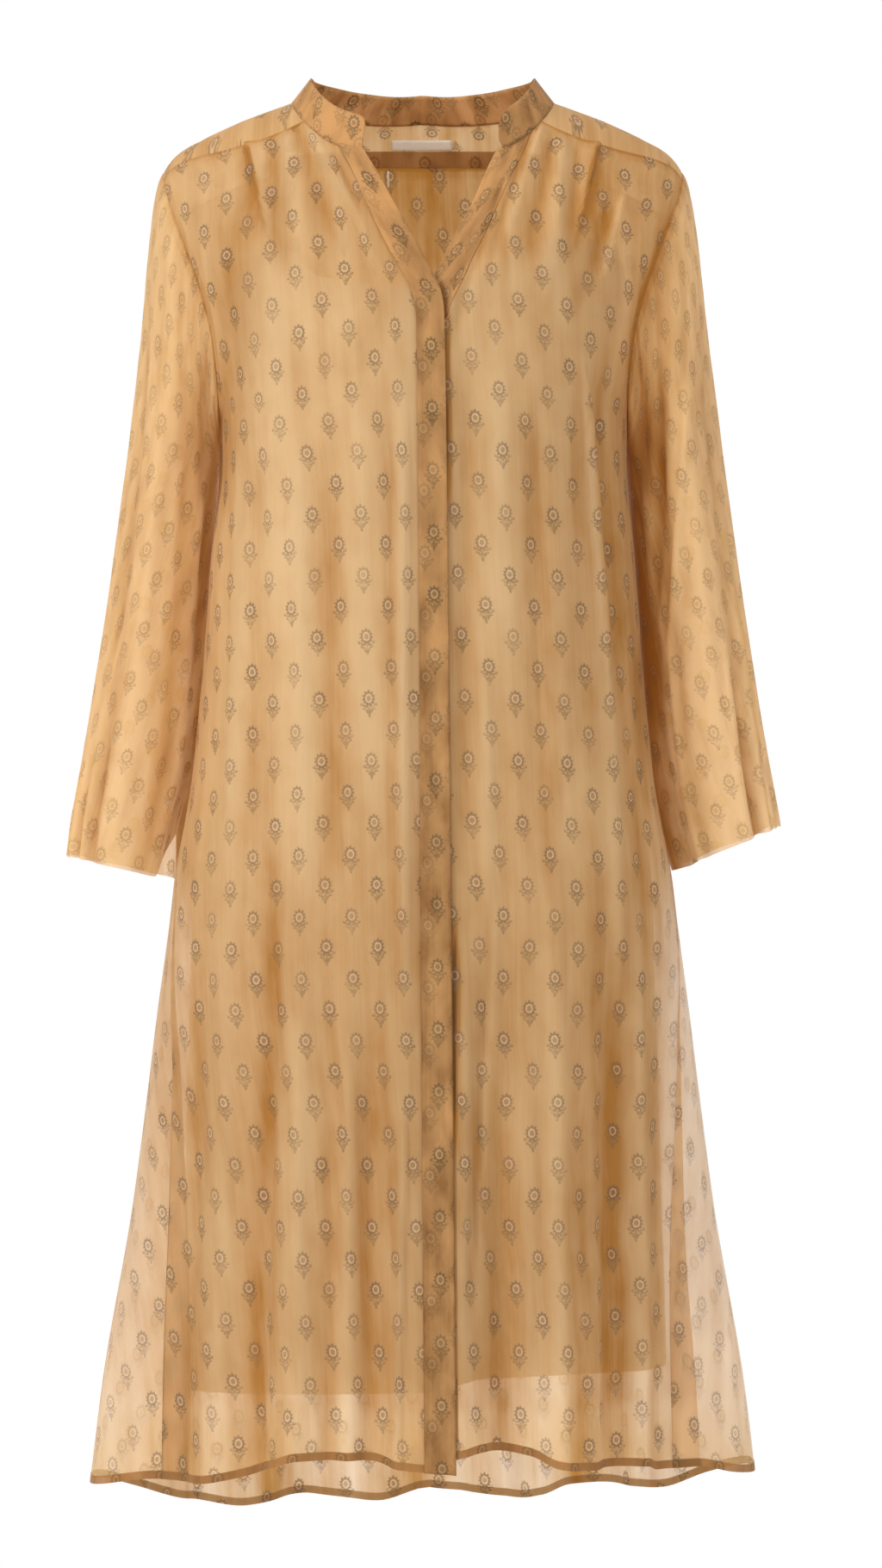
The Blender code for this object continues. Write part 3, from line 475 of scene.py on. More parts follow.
def side_fold(p, z, hand):
    """Share across a front panel, with a pressed fold near its side, and the layer it lies in."""
    line = SIDE_FOLD_RIGHT if hand < 0 else SIDE_FOLD_LEFT
    first = line(z)
    last = first - 0.003 - (0.085 if hand < 0 else 0.06) * grow_below(z, -560, 520)
    q = np.where(
        p < 0.72,
        first * p / 0.72,
        np.where(p < 0.80, mix(first, last, (p - 0.72) / 0.08), mix(last, 1, (p - 0.80) / 0.20)),
    )
    place = grow_past(p, 0.70, 0.04) + grow_past(p, 0.78, 0.04)
    lift = np.interp(place, [0, 1, 2], [0, -1, -2] if hand < 0 else [0, 1, 2])
    settle = 1 - 0.85 * grow_past(p, 0.80, 0.2)
    return q, lift * settle * grow_below(z, -560, 160)


def front_points(hand, p, v, inner, outer=None, out=0.0, folded=True, span=None):
    """Points of a front panel: p across from its band to its side, v up from the hem (0 to 1) over the
    whole length or over a span."""
    p, v = np.meshgrid(p, v, indexing="ij")
    hem = hem_front_right if hand < 0 else hem_front_left

    def turn(z):
        q, lift = side_fold(p, z, hand) if folded else (p, 0 * p)
        start = angle_at(inner(z), z)
        end = hand * side_turn(z) if outer is None else angle_at(outer(z), z)
        return mix(start, end, q), lift

    level = np.full(p.shape, float(HEM_LEVEL))
    low = hem(body(turn(level)[0], level, -1, plain=True)[..., 0])
    if span is None:
        start = np.full(p.shape, TOP_FROM)
        z = mix(low, solve(lambda z: z - level_of_yoke(np.abs(x_of(turn(z)[0], z))), start, 0 * p), v)
    else:
        z = low + v * span
    across, lift = turn(z)
    return body(across, z, -1, out + lift)


def back_points(p, v, out=0.0, span=None):
    """Points of the back panel: p across from the wearer's right (0) to the left (1)."""
    p, v = np.meshgrid(p, v, indexing="ij")
    share = 2 * p - 1
    low = hem_back(body(share, np.full(p.shape, float(HEM_LEVEL)), 1, plain=True)[..., 0])
    if span is None:
        start = np.full(p.shape, TOP_FROM)
        z = mix(low, solve(lambda z: z - back_yoke_level(x_of(share * side_turn(z), z)), start, 0 * p), v)
    else:
        z = low + v * span
    return body(share * side_turn(z), z, 1, out)


def lengths(points, axis):
    """Running length of the grid's lines along an axis, from its first point."""
    steps = np.linalg.norm(np.diff(points, axis=axis), axis=-1)
    pad = [(0, 0), (0, 0)]
    pad[axis] = (1, 0)
    return np.pad(np.cumsum(steps, axis=axis), pad)


def run_along(line):
    """Running length along a line of points."""
    return np.concatenate([[0], np.cumsum(np.linalg.norm(np.diff(line, axis=0), axis=1))])


def uv_of(points, hand=1.0, start=0.0, level=None):
    """Cloth coordinates in mm: across from a start column, and up from a level that lies flat at the
    middle and sags to the sides, where the print leans a little."""
    across = start + hand * lengths(points, 0)
    along = lengths(points, 1)
    if level is None:
        return np.stack([across, along], -1)
    at = np.array([np.interp(level, column[:, 2], run) for column, run in zip(points, along)])
    along = level + along - at[:, None] + PRINT_SAG * points[..., 0] ** 2
    return np.stack([across + PRINT_LEAN * along, along], -1)


def shell(name, points, uv, look, nodes=(), closed=False, tone=0.0, cover=0.0):
    """Makes a cloth piece from a grid of points. tone deepens its colour and cover hides more of what
    lies behind: both are numbers or grids of them."""
    columns, rows = points.shape[:2]
    wrap = columns - 1 if closed else columns
    index = (np.arange(columns) % wrap)[:, None] * rows + np.arange(rows)[None, :]
    faces = np.stack([index[:-1, :-1], index[1:, :-1], index[1:, 1:], index[:-1, 1:]], -1).reshape(-1, 4)
    mesh = bpy.data.meshes.new(name)
    mesh.from_pydata((points[:wrap].reshape(-1, 3) * MM).tolist(), [], faces.tolist())
    corner = np.stack([uv[:-1, :-1], uv[1:, :-1], uv[1:, 1:], uv[:-1, 1:]], -2).reshape(-1, 2)
    layer = mesh.uv_layers.new(name="cloth")
    layer.data.foreach_set("uv", corner.astype(np.float32).ravel())
    for key, values in (("tone", tone), ("cover", cover)):
        values = np.broadcast_to(np.asarray(values, np.float32), (columns, rows))[:wrap]
        mesh.attributes.new(key, "FLOAT", "POINT").data.foreach_set("value", values.ravel())
    mesh.shade_smooth()
    mesh.materials.append(look)
    piece = bpy.data.objects.new(name, mesh)
    bpy.context.scene.collection.objects.link(piece)
    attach(piece, "root")
    if nodes:
        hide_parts(*nodes)
    return piece


def thicken(piece, wall):
    """Gives a doubled band its real thickness, half of it to each side."""
    made = piece.modifiers.new("wall", "SOLIDIFY")
    made.thickness = wall * MM
    made.offset = 0.0
    made.use_even_offset = True
    bpy.context.view_layer.objects.active = piece
    bpy.ops.object.modifier_apply(modifier=made.name)


# ---------------------------------------------------------------- materials
def colour(code):
    """Linear colour of an sRGB hex value."""
    parts = [int(code[k : k + 2], 16) / 255 for k in (1, 3, 5)]
    return tuple(c / 12.92 if c <= 0.04045 else ((c + 0.055) / 1.055) ** 2.4 for c in parts) + (1.0,)


def node(tree, kind, inputs=None, **settings):
    """Adds a node with its settings, and sets or links its inputs."""
    made = tree.nodes.new(kind)
    for key, value in settings.items():
        setattr(made, key, value)
    for key, value in (inputs or {}).items():
        if isinstance(value, bpy.types.NodeSocket):
            tree.links.new(value, made.inputs[key])
        else:
            made.inputs[key].default_value = value
    return made


MATH, VECTOR, RANGE, MIX = "ShaderNodeMath", "ShaderNodeVectorMath", "ShaderNodeMapRange", "ShaderNodeMix"
# The sprig's stem, leaves and side buds, in mm from the middle of its flower head: centre, turn in
# degrees, half sizes
SPRIG = (
    (0, -9.8, 0, 0.85, 4.4),
    (3.4, -6.2, 22, 2.9, 0.85),
    (6.1, -4.9, 0, 1.1, 1.2),
    (2.3, -9.3, 40, 2.4, 0.95),
    (4.4, -8.0, 0, 0.95, 1.0),
    (1.1, -10.6, 55, 2.0, 1.5),
    (0, -13.2, 0, 1.15, 1.9),
)
# Its flower head, a little taller than wide: petals, and radii in mm of their edge, of the scallops'
# depth, of the ring's inner edge, of the heart, and of the white line with its half width
HEAD_SQUEEZE = (1.02, 0.84, 1)
PETALS, PETAL_EDGE, PETAL_DEPTH = 11.0, 5.1, 0.7
RING_FROM, RING_FULL = 2.7, 3.4
HEART_OUT, HEART_FULL, HEART_INK = 2.3, 1.4, 0.7
LINE_AT, LINE_OUT, LINE_FULL = 2.55, 0.8, 0.2


def sprig_print(name, wide, tall):
    """Half-drop repeat of one small sprig, in mm: how much leaf, ring and white lies here."""
    group = bpy.data.node_groups.new(name, "ShaderNodeTree")
    face = group.interface
    face.new_socket("Place", in_out="INPUT", socket_type="NodeSocketVector")
    for share in ("Leaf", "Ring", "White"):
        face.new_socket(share, in_out="OUTPUT", socket_type="NodeSocketFloat")
    start = node(group, "NodeGroupInput")
    apart = node(group, "ShaderNodeSeparateXYZ", {0: start.outputs[0]})
    column = node(group, MATH, {0: apart.outputs[0], 1: 1 / wide}, operation="MULTIPLY")
    number = node(group, MATH, {0: column.outputs[0]}, operation="FLOOR")
    odd = node(group, MATH, {0: number.outputs[0], 1: 1.0}, operation="PINGPONG")
    x = node(group, MATH, {0: column.outputs[0]}, operation="FRACT")
    x = node(group, MATH, {0: x.outputs[0], 1: 0.5}, operation="SUBTRACT")
    x = node(group, MATH, {0: x.outputs[0], 1: wide}, operation="MULTIPLY")
    row = node(group, MATH, {0: apart.outputs[1], 1: 1 / tall}, operation="MULTIPLY")
    row = node(group, MATH, {0: odd.outputs[0], 1: 0.5, 2: row.outputs[0]}, operation="MULTIPLY_ADD")
    y = node(group, MATH, {0: row.outputs[0]}, operation="FRACT")
    y = node(group, MATH, {0: y.outputs[0], 1: tall, 2: 9.5 - 0.8 * tall}, operation="MULTIPLY_ADD")
    mirrored = node(group, MATH, {0: x.outputs[0]}, operation="ABSOLUTE")
    place = node(group, "ShaderNodeCombineXYZ", {0: mirrored.outputs[0], 1: y.outputs[0]})
    nearest = None
    for cx, cy, turn, wide_by, tall_by in SPRIG:
        at = node(
            group,
            "ShaderNodeMapping",
            {0: place.outputs[0], 1: (cx, cy, 0), 2: (0, 0, math.radians(turn)), 3: (wide_by, tall_by, 1)},
            vector_type="TEXTURE",
        )
        away = node(group, VECTOR, {0: at.outputs[0]}, operation="LENGTH").outputs["Value"]
        if nearest is not None:
            away = node(group, MATH, {0: nearest, 1: away}, operation="MINIMUM").outputs[0]
        nearest = away
    leaf = node(group, RANGE, {0: nearest, 1: 1.25, 2: 0.75, 3: 0.0, 4: 1.0})
    head = node(group, VECTOR, {0: place.outputs[0], 1: HEAD_SQUEEZE}, operation="MULTIPLY")
    reach = node(group, VECTOR, {0: head.outputs[0]}, operation="LENGTH").outputs["Value"]
    angle = node(group, MATH, {0: x.outputs[0], 1: y.outputs[0]}, operation="ARCTAN2")
    petal = node(group, MATH, {0: angle.outputs[0], 1: PETALS}, operation="MULTIPLY")
    petal = node(group, MATH, {0: petal.outputs[0]}, operation="COSINE")
    edge = node(group, MATH, {0: petal.outputs[0], 1: PETAL_DEPTH, 2: PETAL_EDGE}, operation="MULTIPLY_ADD")
    past = node(group, MATH, {0: reach, 1: edge.outputs[0]}, operation="SUBTRACT")
    outer = node(group, RANGE, {0: past.outputs[0], 1: 0.5, 2: -0.5, 3: 0.0, 4: 1.0})
    inner = node(group, RANGE, {0: reach, 1: RING_FROM, 2: RING_FULL, 3: 0.0, 4: 1.0})
    ring = node(group, MATH, {0: outer.outputs[0], 1: inner.outputs[0]}, operation="MULTIPLY")
    heart = node(group, RANGE, {0: reach, 1: HEART_OUT, 2: HEART_FULL, 3: 0.0, 4: HEART_INK})
    ring = node(group, MATH, {0: ring.outputs[0], 1: heart.outputs[0]}, operation="MAXIMUM")
    middle = node(group, MATH, {0: reach, 1: LINE_AT}, operation="SUBTRACT")
    middle = node(group, MATH, {0: middle.outputs[0]}, operation="ABSOLUTE")
    white = node(group, RANGE, {0: middle.outputs[0], 1: LINE_OUT, 2: LINE_FULL, 3: 0.0, 4: 1.0})
    node(
        group,
        "NodeGroupOutput",
        {"Leaf": leaf.outputs[0], "Ring": ring.outputs[0], "White": white.outputs[0]},
    )
    return group


SPRIGS = sprig_print("sprig_print", 21.0, 49.0)
CLOSE_SPRIGS = sprig_print("sprig_print_sleeve", 17.5, 41.0)
# Noises over the cloth: waves a mm across and along it, and detail. Georgette's threads lie about
# 0.3 mm apart, too fine to show, so its streaks are drawn from 1.7 mm on and its crinkle at 1.4 mm
NOISES = {
    "ends": (0.6, 0.012, 3.0),
    "stripes": (0.07, 0.004, 2.0),
    "broad": (0.02, 0.008, 2.0),
    "mottle": (0.06, 0.03, 3.0),
    "rough": (0.8, 0.8, 1.0),
    "worn": (0.03, 0.03, 1.0),
    "patchy": (0.28, 0.28, 1.0),
    "crinkle": (0.7, 0.35, 4.0),
}
# How much each deepens the cloth, and the mean that is taken off again; ink of leaf, ring and line
STREAKS = (("ends", 0.3), ("stripes", 0.8), ("broad", 0.65))
STREAK_MEAN = 0.61
INK_AMOUNTS = (0.74, 0.8, 0.34)
ROUGH_EDGE = 1.5
BEHIND_SHIFT = (7.3, 17.0, 0)
DENSITY_AND_SHADE_COVER, INK_COVER, LIT_THROUGH = 0.22, 0.16, 0.38
# colour of the deepest painted shade, in slits and under edges that lap over
DEEPEST_PAINTED_SHADE = "#6F441A"


def cloth(name, base, deep, cover, inks, shift=(0, 0), strength=1.0, under=0.0, mottle=0.5, sprigs=SPRIGS):
    """Printed georgette. base and deep are its colours in thin places and where it is denser, and deep is
    also the colour of the shade painted in by the tone attribute; cover is how much one layer hides,
    inks are those of leaf, ring and white line, shift moves the print, strength is how much ink lies on
    it, and under is how far the print of a layer behind shows through."""
    made = bpy.data.materials.new(name)
    made.use_nodes = True
    tree = made.node_tree
    shader = tree.nodes["Principled BSDF"]
    uv = node(tree, "ShaderNodeUVMap", uv_map="cloth")
    noise = {}
    for use, (across, along, detail) in NOISES.items():
        at = node(tree, "ShaderNodeMapping", {0: uv.outputs[0], 3: (across, along, 1)})
        waves = {"Vector": at.outputs[0], "Scale": 1.0, "Detail": detail}
        noise[use] = node(tree, "ShaderNodeTexNoise", waves).outputs
    # threads lie closer in some ends than others, which streaks the cloth along its length
    tone = node(tree, "ShaderNodeAttribute", attribute_name="tone").outputs["Fac"]
    density_and_shade = tone
    for use, much in (*STREAKS, ("mottle", mottle)):
        density_and_shade = node(tree, MATH, {0: noise[use][0], 1: much, 2: density_and_shade}, operation="MULTIPLY_ADD").outputs[0]
    mean = STREAK_MEAN + mottle / 2
    density_and_shade = node(tree, MATH, {0: density_and_shade, 1: mean}, operation="SUBTRACT", use_clamp=True).outputs[0]
    # above 1 the tone is painted shade, in slits and under edges that lap over, darker than any single
    # layer
    folded = node(tree, RANGE, {0: tone, 1: 1.0, 2: 2.0, 3: 0.0, 4: 1.0}).outputs[0]
    shades = colour(base)
    for share, tint in ((density_and_shade, deep), (folded, DEEPEST_PAINTED_SHADE)):
        parts = {"Factor": share, "A": shades, "B": colour(tint)}
        shades = node(tree, MIX, parts, data_type="RGBA").outputs["Result"]
    # the print has a rough edge, and its ink lies unevenly from sprig to sprig
    edge = {0: noise["rough"]["Color"], 1: (ROUGH_EDGE, ROUGH_EDGE, 0)}
    rough = node(tree, VECTOR, edge, operation="MULTIPLY")
    place = node(tree, "ShaderNodeMapping", {0: uv.outputs[0], 1: (*shift, 0)})
    place = node(tree, VECTOR, {0: place.outputs[0], 1: rough.outputs[0]}, operation="ADD")
    worn = node(tree, RANGE, {0: noise["worn"][0], 1: 0.3, 2: 0.65, 3: 0.6 * strength, 4: strength})
    marks = node(tree, "ShaderNodeGroup", {0: place.outputs[0]}, node_tree=sprigs).outputs
    marks = {share: marks[share] for share in ("Leaf", "Ring", "White")}
    if under:
        behind = node(tree, VECTOR, {0: place.outputs[0], 1: BEHIND_SHIFT}, operation="ADD")
        behind = node(tree, "ShaderNodeGroup", {0: behind.outputs[0]}, node_tree=sprigs).outputs
        for share, mark in marks.items():
            faint = node(tree, MATH, {0: behind[share], 1: under}, operation="MULTIPLY")
            marks[share] = node(tree, MATH, {0: mark, 1: faint.outputs[0]}, operation="MAXIMUM").outputs[0]
    patchy = node(tree, RANGE, {0: noise["patchy"][0], 1: 0.35, 2: 0.55, 3: 0.45, 4: 1.0}).outputs[0]
    marks["Leaf"] = node(tree, MATH, {0: marks["Leaf"], 1: patchy}, operation="MULTIPLY").outputs[0]
    for mark, tint, amount in zip(marks.values(), inks, INK_AMOUNTS):
        part = node(tree, MATH, {0: mark, 1: worn.outputs[0]}, operation="MULTIPLY")
        part = node(tree, MATH, {0: part.outputs[0], 1: amount}, operation="MULTIPLY").outputs[0]
        parts = {"Factor": part, "A": shades, "B": colour(tint)}
        shades = node(tree, MIX, parts, data_type="RGBA").outputs["Result"]
    tree.links.new(shades, shader.inputs["Base Color"])
    # denser and inked places hide more, and so do places of painted shade
    hide = node(tree, "ShaderNodeAttribute", attribute_name="cover").outputs["Fac"]
    hide = node(tree, MATH, {0: hide, 1: cover}, operation="ADD").outputs[0]
    hide = node(tree, MATH, {0: density_and_shade, 1: DENSITY_AND_SHADE_COVER, 2: hide}, operation="MULTIPLY_ADD").outputs[0]
    inked = node(tree, MATH, {0: marks["Ring"], 1: marks["White"]}, operation="MAXIMUM").outputs[0]
    hide = {0: inked, 1: INK_COVER, 2: hide}
    hide = node(tree, MATH, hide, operation="MULTIPLY_ADD", use_clamp=True)
    bump = {"Strength": 0.2, "Distance": 0.0006, "Height": noise["crinkle"][0]}
    tree.links.new(node(tree, "ShaderNodeBump", bump).outputs[0], shader.inputs["Normal"])
    shader.inputs["Roughness"].default_value = 0.68
    shader.inputs["Specular IOR Level"].default_value = 0.3
    shader.inputs["Sheen Weight"].default_value = 0.25
    shader.inputs["Sheen Roughness"].default_value = 0.45
    shader.inputs["Sheen Tint"].default_value = colour("#F2D2A2")
    # thin cloth lets part of the light through to its other side, and is open between its threads
    through = node(tree, "ShaderNodeBsdfTranslucent", {0: shades})
    both = {0: LIT_THROUGH, 1: shader.outputs[0], 2: through.outputs[0]}
    both = node(tree, "ShaderNodeMixShader", both)
    gaps = node(tree, "ShaderNodeBsdfTransparent")
    shown = node(tree, "ShaderNodeMixShader", {0: hide.outputs[0], 1: gaps.outputs[0], 2: both.outputs[0]})
    tree.links.new(shown.outputs[0], tree.nodes["Material Output"].inputs[0])
    return made


def plain_cloth(name, base, deep, roughness):
    """Closely woven cloth. Its threads are too fine to show, so faint streaks run along it 3 mm apart."""
    made = bpy.data.materials.new(name)
    made.use_nodes = True
    tree = made.node_tree
    shader = tree.nodes["Principled BSDF"]
    uv = node(tree, "ShaderNodeUVMap", uv_map="cloth")
    ends = node(tree, "ShaderNodeMapping", {0: uv.outputs[0], 3: (0.35, 0.01, 1)})
    streak = node(tree, "ShaderNodeTexNoise", {"Vector": ends.outputs[0], "Scale": 1.0, "Detail": 3.0})
    share = node(tree, RANGE, {0: streak.outputs[0], 1: 0.3, 2: 0.7, 3: 0.0, 4: 1.0})
    parts = {"Factor": share.outputs[0], "A": colour(base), "B": colour(deep)}
    ground = node(tree, MIX, parts, data_type="RGBA")
    tree.links.new(ground.outputs["Result"], shader.inputs["Base Color"])
    shader.inputs["Roughness"].default_value = roughness
    shader.inputs["Sheen Weight"].default_value = 0.2
    return made


LEAF, INK = "#8A6E47", "#7F674E"
# Georgette, a plain weave of hard-twisted thread, printed in small sprigs: sheer and matt, pale where it
# lies single and flat, and a deeper gold where its threads crowd or it lies slanted
BODY = cloth("printed_georgette", "#F0CA94", "#B87E34", 0.62, (LEAF, INK, "#F0DEC6"), shift=(2.0, 23.4))
# The same cloth for the sleeves, where the print is smaller and fainter
SLEEVE = cloth(
    "printed_georgette_sleeve",
    "#F5CD90",
    "#B0742C",
    0.7,
    (LEAF, INK, "#E4CAA6"),
    strength=0.58,
    sprigs=CLOSE_SPRIGS,
)
# The same cloth folded double, in the bands and the collar: it hides more and shows both layers' print
DOUBLE = cloth(
    "doubled_georgette",
    "#E2B072",
    "#935E28",
    0.86,
    ("#785C34", "#6C5536", "#E6CAA4"),
    strength=0.95,
    under=0.5,
    mottle=1.5,
)
# Turned hems and seam allowances, three layers deep: nearly solid, and deepest in colour
SEAMED = cloth(
    "seamed_georgette", "#C08E54", "#8A5A2A", 0.84, ("#6E5434", "#604B30", "#D8BC98"), strength=0.6
)
# Satin lining, woven with its long threads on the face: smooth, with a soft sheen
SATIN = plain_cloth("slip_satin", "#DFCDAD", "#D2C09A", 0.5)
# Ribbon, woven close: smooth, matt and near white
RIBBON = plain_cloth("woven_label", "#FFFDF8", "#FBF6EC", 0.7)


# ---------------------------------------------------------------- pieces
def body_weight(points, side):
    """Tone and cover of a body panel: denser where it is gathered in under the yoke and along seams where
    the allowance lies behind it, with painted shade down in the creases' troughs and painted highlight
    on their ridges."""
    x, z = points[..., 0], points[..., 2]
    above = smooth((z - (slip_top(x) if side < 0 else -200) + 12) / 26)
    skirt = grow_below(z, -520, 200)
    # paler and more open at the skirt's sides, most at the wearer's left: painted light, as if lit through
    # from behind
    aside = np.where(x < 0, 0.7 * grow_past(-x, 208, 28), grow_past(x, 180, 30)) * skirt
    flank = smooth((np.abs(x) / half_width(z) - 0.84) / 0.1) * (1 - skirt)
    side_seam = 1 - grow_below(z, -256, 20) * (1 - grow_below(z, -560, 40))
    # distance from the top edge and from the side edge: a wide soft allowance and a thin dark seam
    down, out = lengths(points[:, ::-1], 1)[:, ::-1], lengths(points[::-1], 0)[::-1]
    allowance = np.maximum(side_seam * (1 - grow_past(out, 7, 3)), 1 - grow_past(down, 8, 3))
    thin = np.maximum(side_seam * (1 - grow_past(out, 1, 2)), 1.7 - 1.7 * grow_past(down, 1.5, 2.5))
    seam = np.maximum(0.4 * allowance, thin)
    # painted shade down in the creases' troughs and painted highlight on their ridges, stronger in the
    # bodice and near the neck; the troughs also hide more
    deep = mix(-0.1, -0.05, skirt) - 0.02 * grow_past(z, -190, 60)
    deep = deep * creases(FRONT_CREASES if side < 0 else BACK_CREASES, x, z)
    if side > 0:
        seam = np.maximum(seam, 1 - grow_past(lengths(points, 0), 6, 3))
        # inside the neck: painted shade over the wearer's right half and over the pleat, which is also
        # three layers deep, and the pleat's stitched lines
        inner = (1 - grow_below(z, -120, 160)) * (1 - grow_past(np.abs(x), 80, 30))
        pleated = 0.15 * (1 - grow_past(x, 15, 5)) + 0.16 * (bell((x - 4.5) / 1.8) + bell((x - 19) / 1.8))
        # the upper back is deeper and hides more: painted shade inside the neck
        tone = 0.2 * above + 0.3 * seam + inner * (pleated + 0.2 * grow_below(x, 12, 20)) + deep
        tone = tone + 0.16 * grow_below(z, -1060, 60)
        cover = 0.36 * above + 0.15 * seam + 0.2 * deep - 0.15 * aside + 0.3 * flank
        return tone, cover + 0.16 * grow_below(z, -1040, 90)
    low_skirt = (skirt - 0.6 * grow_below(z, -1036, 14)) * mix(1, 0.72, grow_below(x, -30, 50))
    shaded = 0.6 * grow_past(x, 24, 40) + grow_past(x, 90, 70)
    shaded = (shaded + 0.5 * grow_past(x, -60, 40) * grow_below(x, -6, 8)) * (1 - skirt)
    gathered = grow_past(z, -150, 60) * grow_below(np.abs(x), 128, 30)
    # shade under the stitched tuck
    past, below = tuck_line(x, z)
    wedge = bell(np.minimum(past, 0) / 1.5) * bell(np.maximum(past, 0) / mix(4, 16, below / 90))
    wedge = wedge * smooth(below / 6) * (1 - grow_past(below, 55, 45))
    stitched = bell(past / 2.2) * smooth(below / 4) * (1 - grow_past(below, 30, 25))
    # shade beside the bands, in the slit between them, and by the armhole
    beside = bell((x - left_out(z)) / 9) * grow_below(z, -200, 60) * (1 - 0.5 * grow_below(z, -620, 120))
    slit = bell((x - right_in(z) - 1.6) / 1.8) * grow_below(z, -165, 20) * (1 - grow_below(z, -280, 80))
    wide = mix(1.6, 3.4, bell((z + 720) / 36))
    slit = slit + bell((x - 25.5) / wide) * grow_below(z, -650, 40) * (1 - grow_below(z, -790, 60))
    armhole = bell(out / 8) * grow_past(z, -256, 20) * grow_below(z, -80, 40)
    tone = 0.06 * above + 0.1 * gathered + 0.28 * low_skirt - 0.3 * aside + 0.3 * seam + 0.04 * flank
    tone = tone + 0.11 * shaded + deep + 0.6 * wedge + 0.7 * stitched
    tone = tone + (0.26 * beside + 1.7 * slit + 0.3 * armhole) * (x > 0)
    return tone, 0.15 * seam + 0.1 * above + 0.2 * deep - 0.15 * aside + 0.28 * flank


def under_band(z):
    """Inner edge of the wearer's left panel, which runs under the overlapping band below the neck."""
    return left_out(z) - 8 * grow_below(z, -178, 24)


def build_fronts():
    # columns lie closer at the band's edge, and where the side is folded
    stops = ((0, 0.035, 7), (0.045, 0.70, 66), (0.706, 0.82, 20), (0.83, 1, 16))
    p = np.concatenate([np.linspace(*stop) for stop in stops])
    panels = (
        ("front_right", -1, right_out, (0.43, 1.10), 0.30),
        ("front_left", 1, under_band, (0.40, 1.10), 0.28),
    )
    for name, hand, edge, flat, area in panels:
        points = front_points(hand, p, rows_from_hem(270), edge)
        uv = uv_of(points, hand, edge(points[0, :, 2]), -180.0)
        tone, cover = body_weight(points, -1)
        piece = shell(name, points, uv, BODY, [name], tone=tone, cover=cover)
        # the turned hem, three layers deep
        hem = front_points(hand, p, np.linspace(0, 1, 4), edge, out=HEM_OUT, span=HEM_HEIGHT)
        low = uv_of(hem, hand, edge(hem[0, :, 2])) + np.array([0, -1100.0])
        turned = shell(name + "_hem", hem, low, SEAMED, tone=0.15)
    bands = (
        ("placket_right", -1, right_out, right_in, 1.9, 0.028),
        ("placket_left", 1, left_out, left_in, -1.9, 0.04),
    )
    across = np.linspace(0, 1, 16)
    for name, hand, outer, inner, step, wide in bands:
        points = front_points(hand, across, rows_from_hem(300), inner, outer, out=step, folded=False)
        x, z = points[..., 0], points[..., 2]
        edges = np.abs(2 * across - 1)[:, None] ** 3
        tone = 0.2 * edges * grow_below(z, -260, 200) + 0.2 * grow_below(z, -260, 400)
        tone = tone - 0.02 * grow_past(z, -200, 40)
        if hand > 0:
            # shade under the edge of the band that laps over
            under = bell((x - right_in(z) - 0.8) / 1.5) * grow_past(z, -330, 60) * grow_below(z, -150, 10)
            tone = tone + 1.3 * under
        piece = shell(name, points, uv_of(points, hand), DOUBLE, [name], tone=tone)
        thicken(piece, 1.2)


def build_back():
    p = np.linspace(0, 1, 150)
    points = back_points(p, rows_from_hem(270))
    uv = uv_of(points, level=-260.0)
    uv[..., 0] -= lengths(points, 0)[len(p) // 2][None, :]
    tone, cover = body_weight(points, 1)
    piece = shell("back", points, uv, BODY, ["back"], tone=tone, cover=cover)
    hem = back_points(p, np.linspace(0, 1, 4), out=HEM_OUT, span=HEM_HEIGHT)
    low = uv_of(hem) + np.array([0, -1100.0])
    turned = shell("back_hem", hem, low, SEAMED, tone=0.8, cover=0.1)


def build_yoke():
    """One piece round the neck, between the armhole tops, the front seams and the back seam."""
    ends = []
    for z, side in (
        (np.linspace(YOKE_FRONT_ARMHOLE, SHOULDER_POINT, 8), -1),
        (np.linspace(SHOULDER_POINT, YOKE_BACK_ARMHOLE, 16), 1),
    ):
        ends.append(np.stack([-armhole_x(z), side * depth_at(armhole_x(z), z, side), z], -1))
    x = np.linspace(-armhole_x(YOKE_BACK_ARMHOLE), armhole_x(YOKE_BACK_ARMHOLE), 90)
    level = back_yoke_level(x)
    back = np.stack([x, depth_at(x, level, 1) + pleat(x, level) * 0.6, level], -1)
    half = np.concatenate([ends[0], ends[1][1:-1]])
    outer = np.concatenate([half, back, (half * np.array([-1, 1, 1]))[::-1]])
    share = run_along(outer)
    share = share / share[-1]
    start = float(neck_turn(YOKE_NECK_X))
    turn = mix(-start, -2 + start, share)
    neck = neck_point(np.where(turn < -1, turn + 2, turn))
    # rows lie closer toward the outer edge
    across = 1 - (1 - np.linspace(0, 1, 26)) ** 1.35
    points = neck[:, None] + (outer - neck)[:, None] * across[None, :, None]
    ahead = 1 - np.abs(2 * share - 1)
    points[..., 1] -= YOKE_BOW * 4 * (across * (1 - across))[None] * (1 - smooth(ahead / 0.3))[:, None]
    points[:, 1:-1, 2] = level_at(points[:, 1:-1, 0], points[:, 1:-1, 1])
    across_yoke, along_yoke = YOKE_SLOPE
    uv = np.stack([points[..., 0] * across_yoke, points[..., 1] * along_yoke - points[..., 2]], -1)
    behind = grow_past(points[..., 1], 10, 40)
    tone = mix(0.16, 0.0, behind) + 0.25 * bell((points[..., 0] - 22) / 2.5) * behind
    cover = mix(0.38, 0.3, behind)
    piece = shell("yoke", points, uv, BODY, ["yoke"], tone=tone, cover=cover)


def corner_rise(radius, away):
    """Height that a round corner takes off an edge this far from its end."""
    return radius - np.sqrt(radius**2 - np.maximum(radius - away, 0) ** 2)


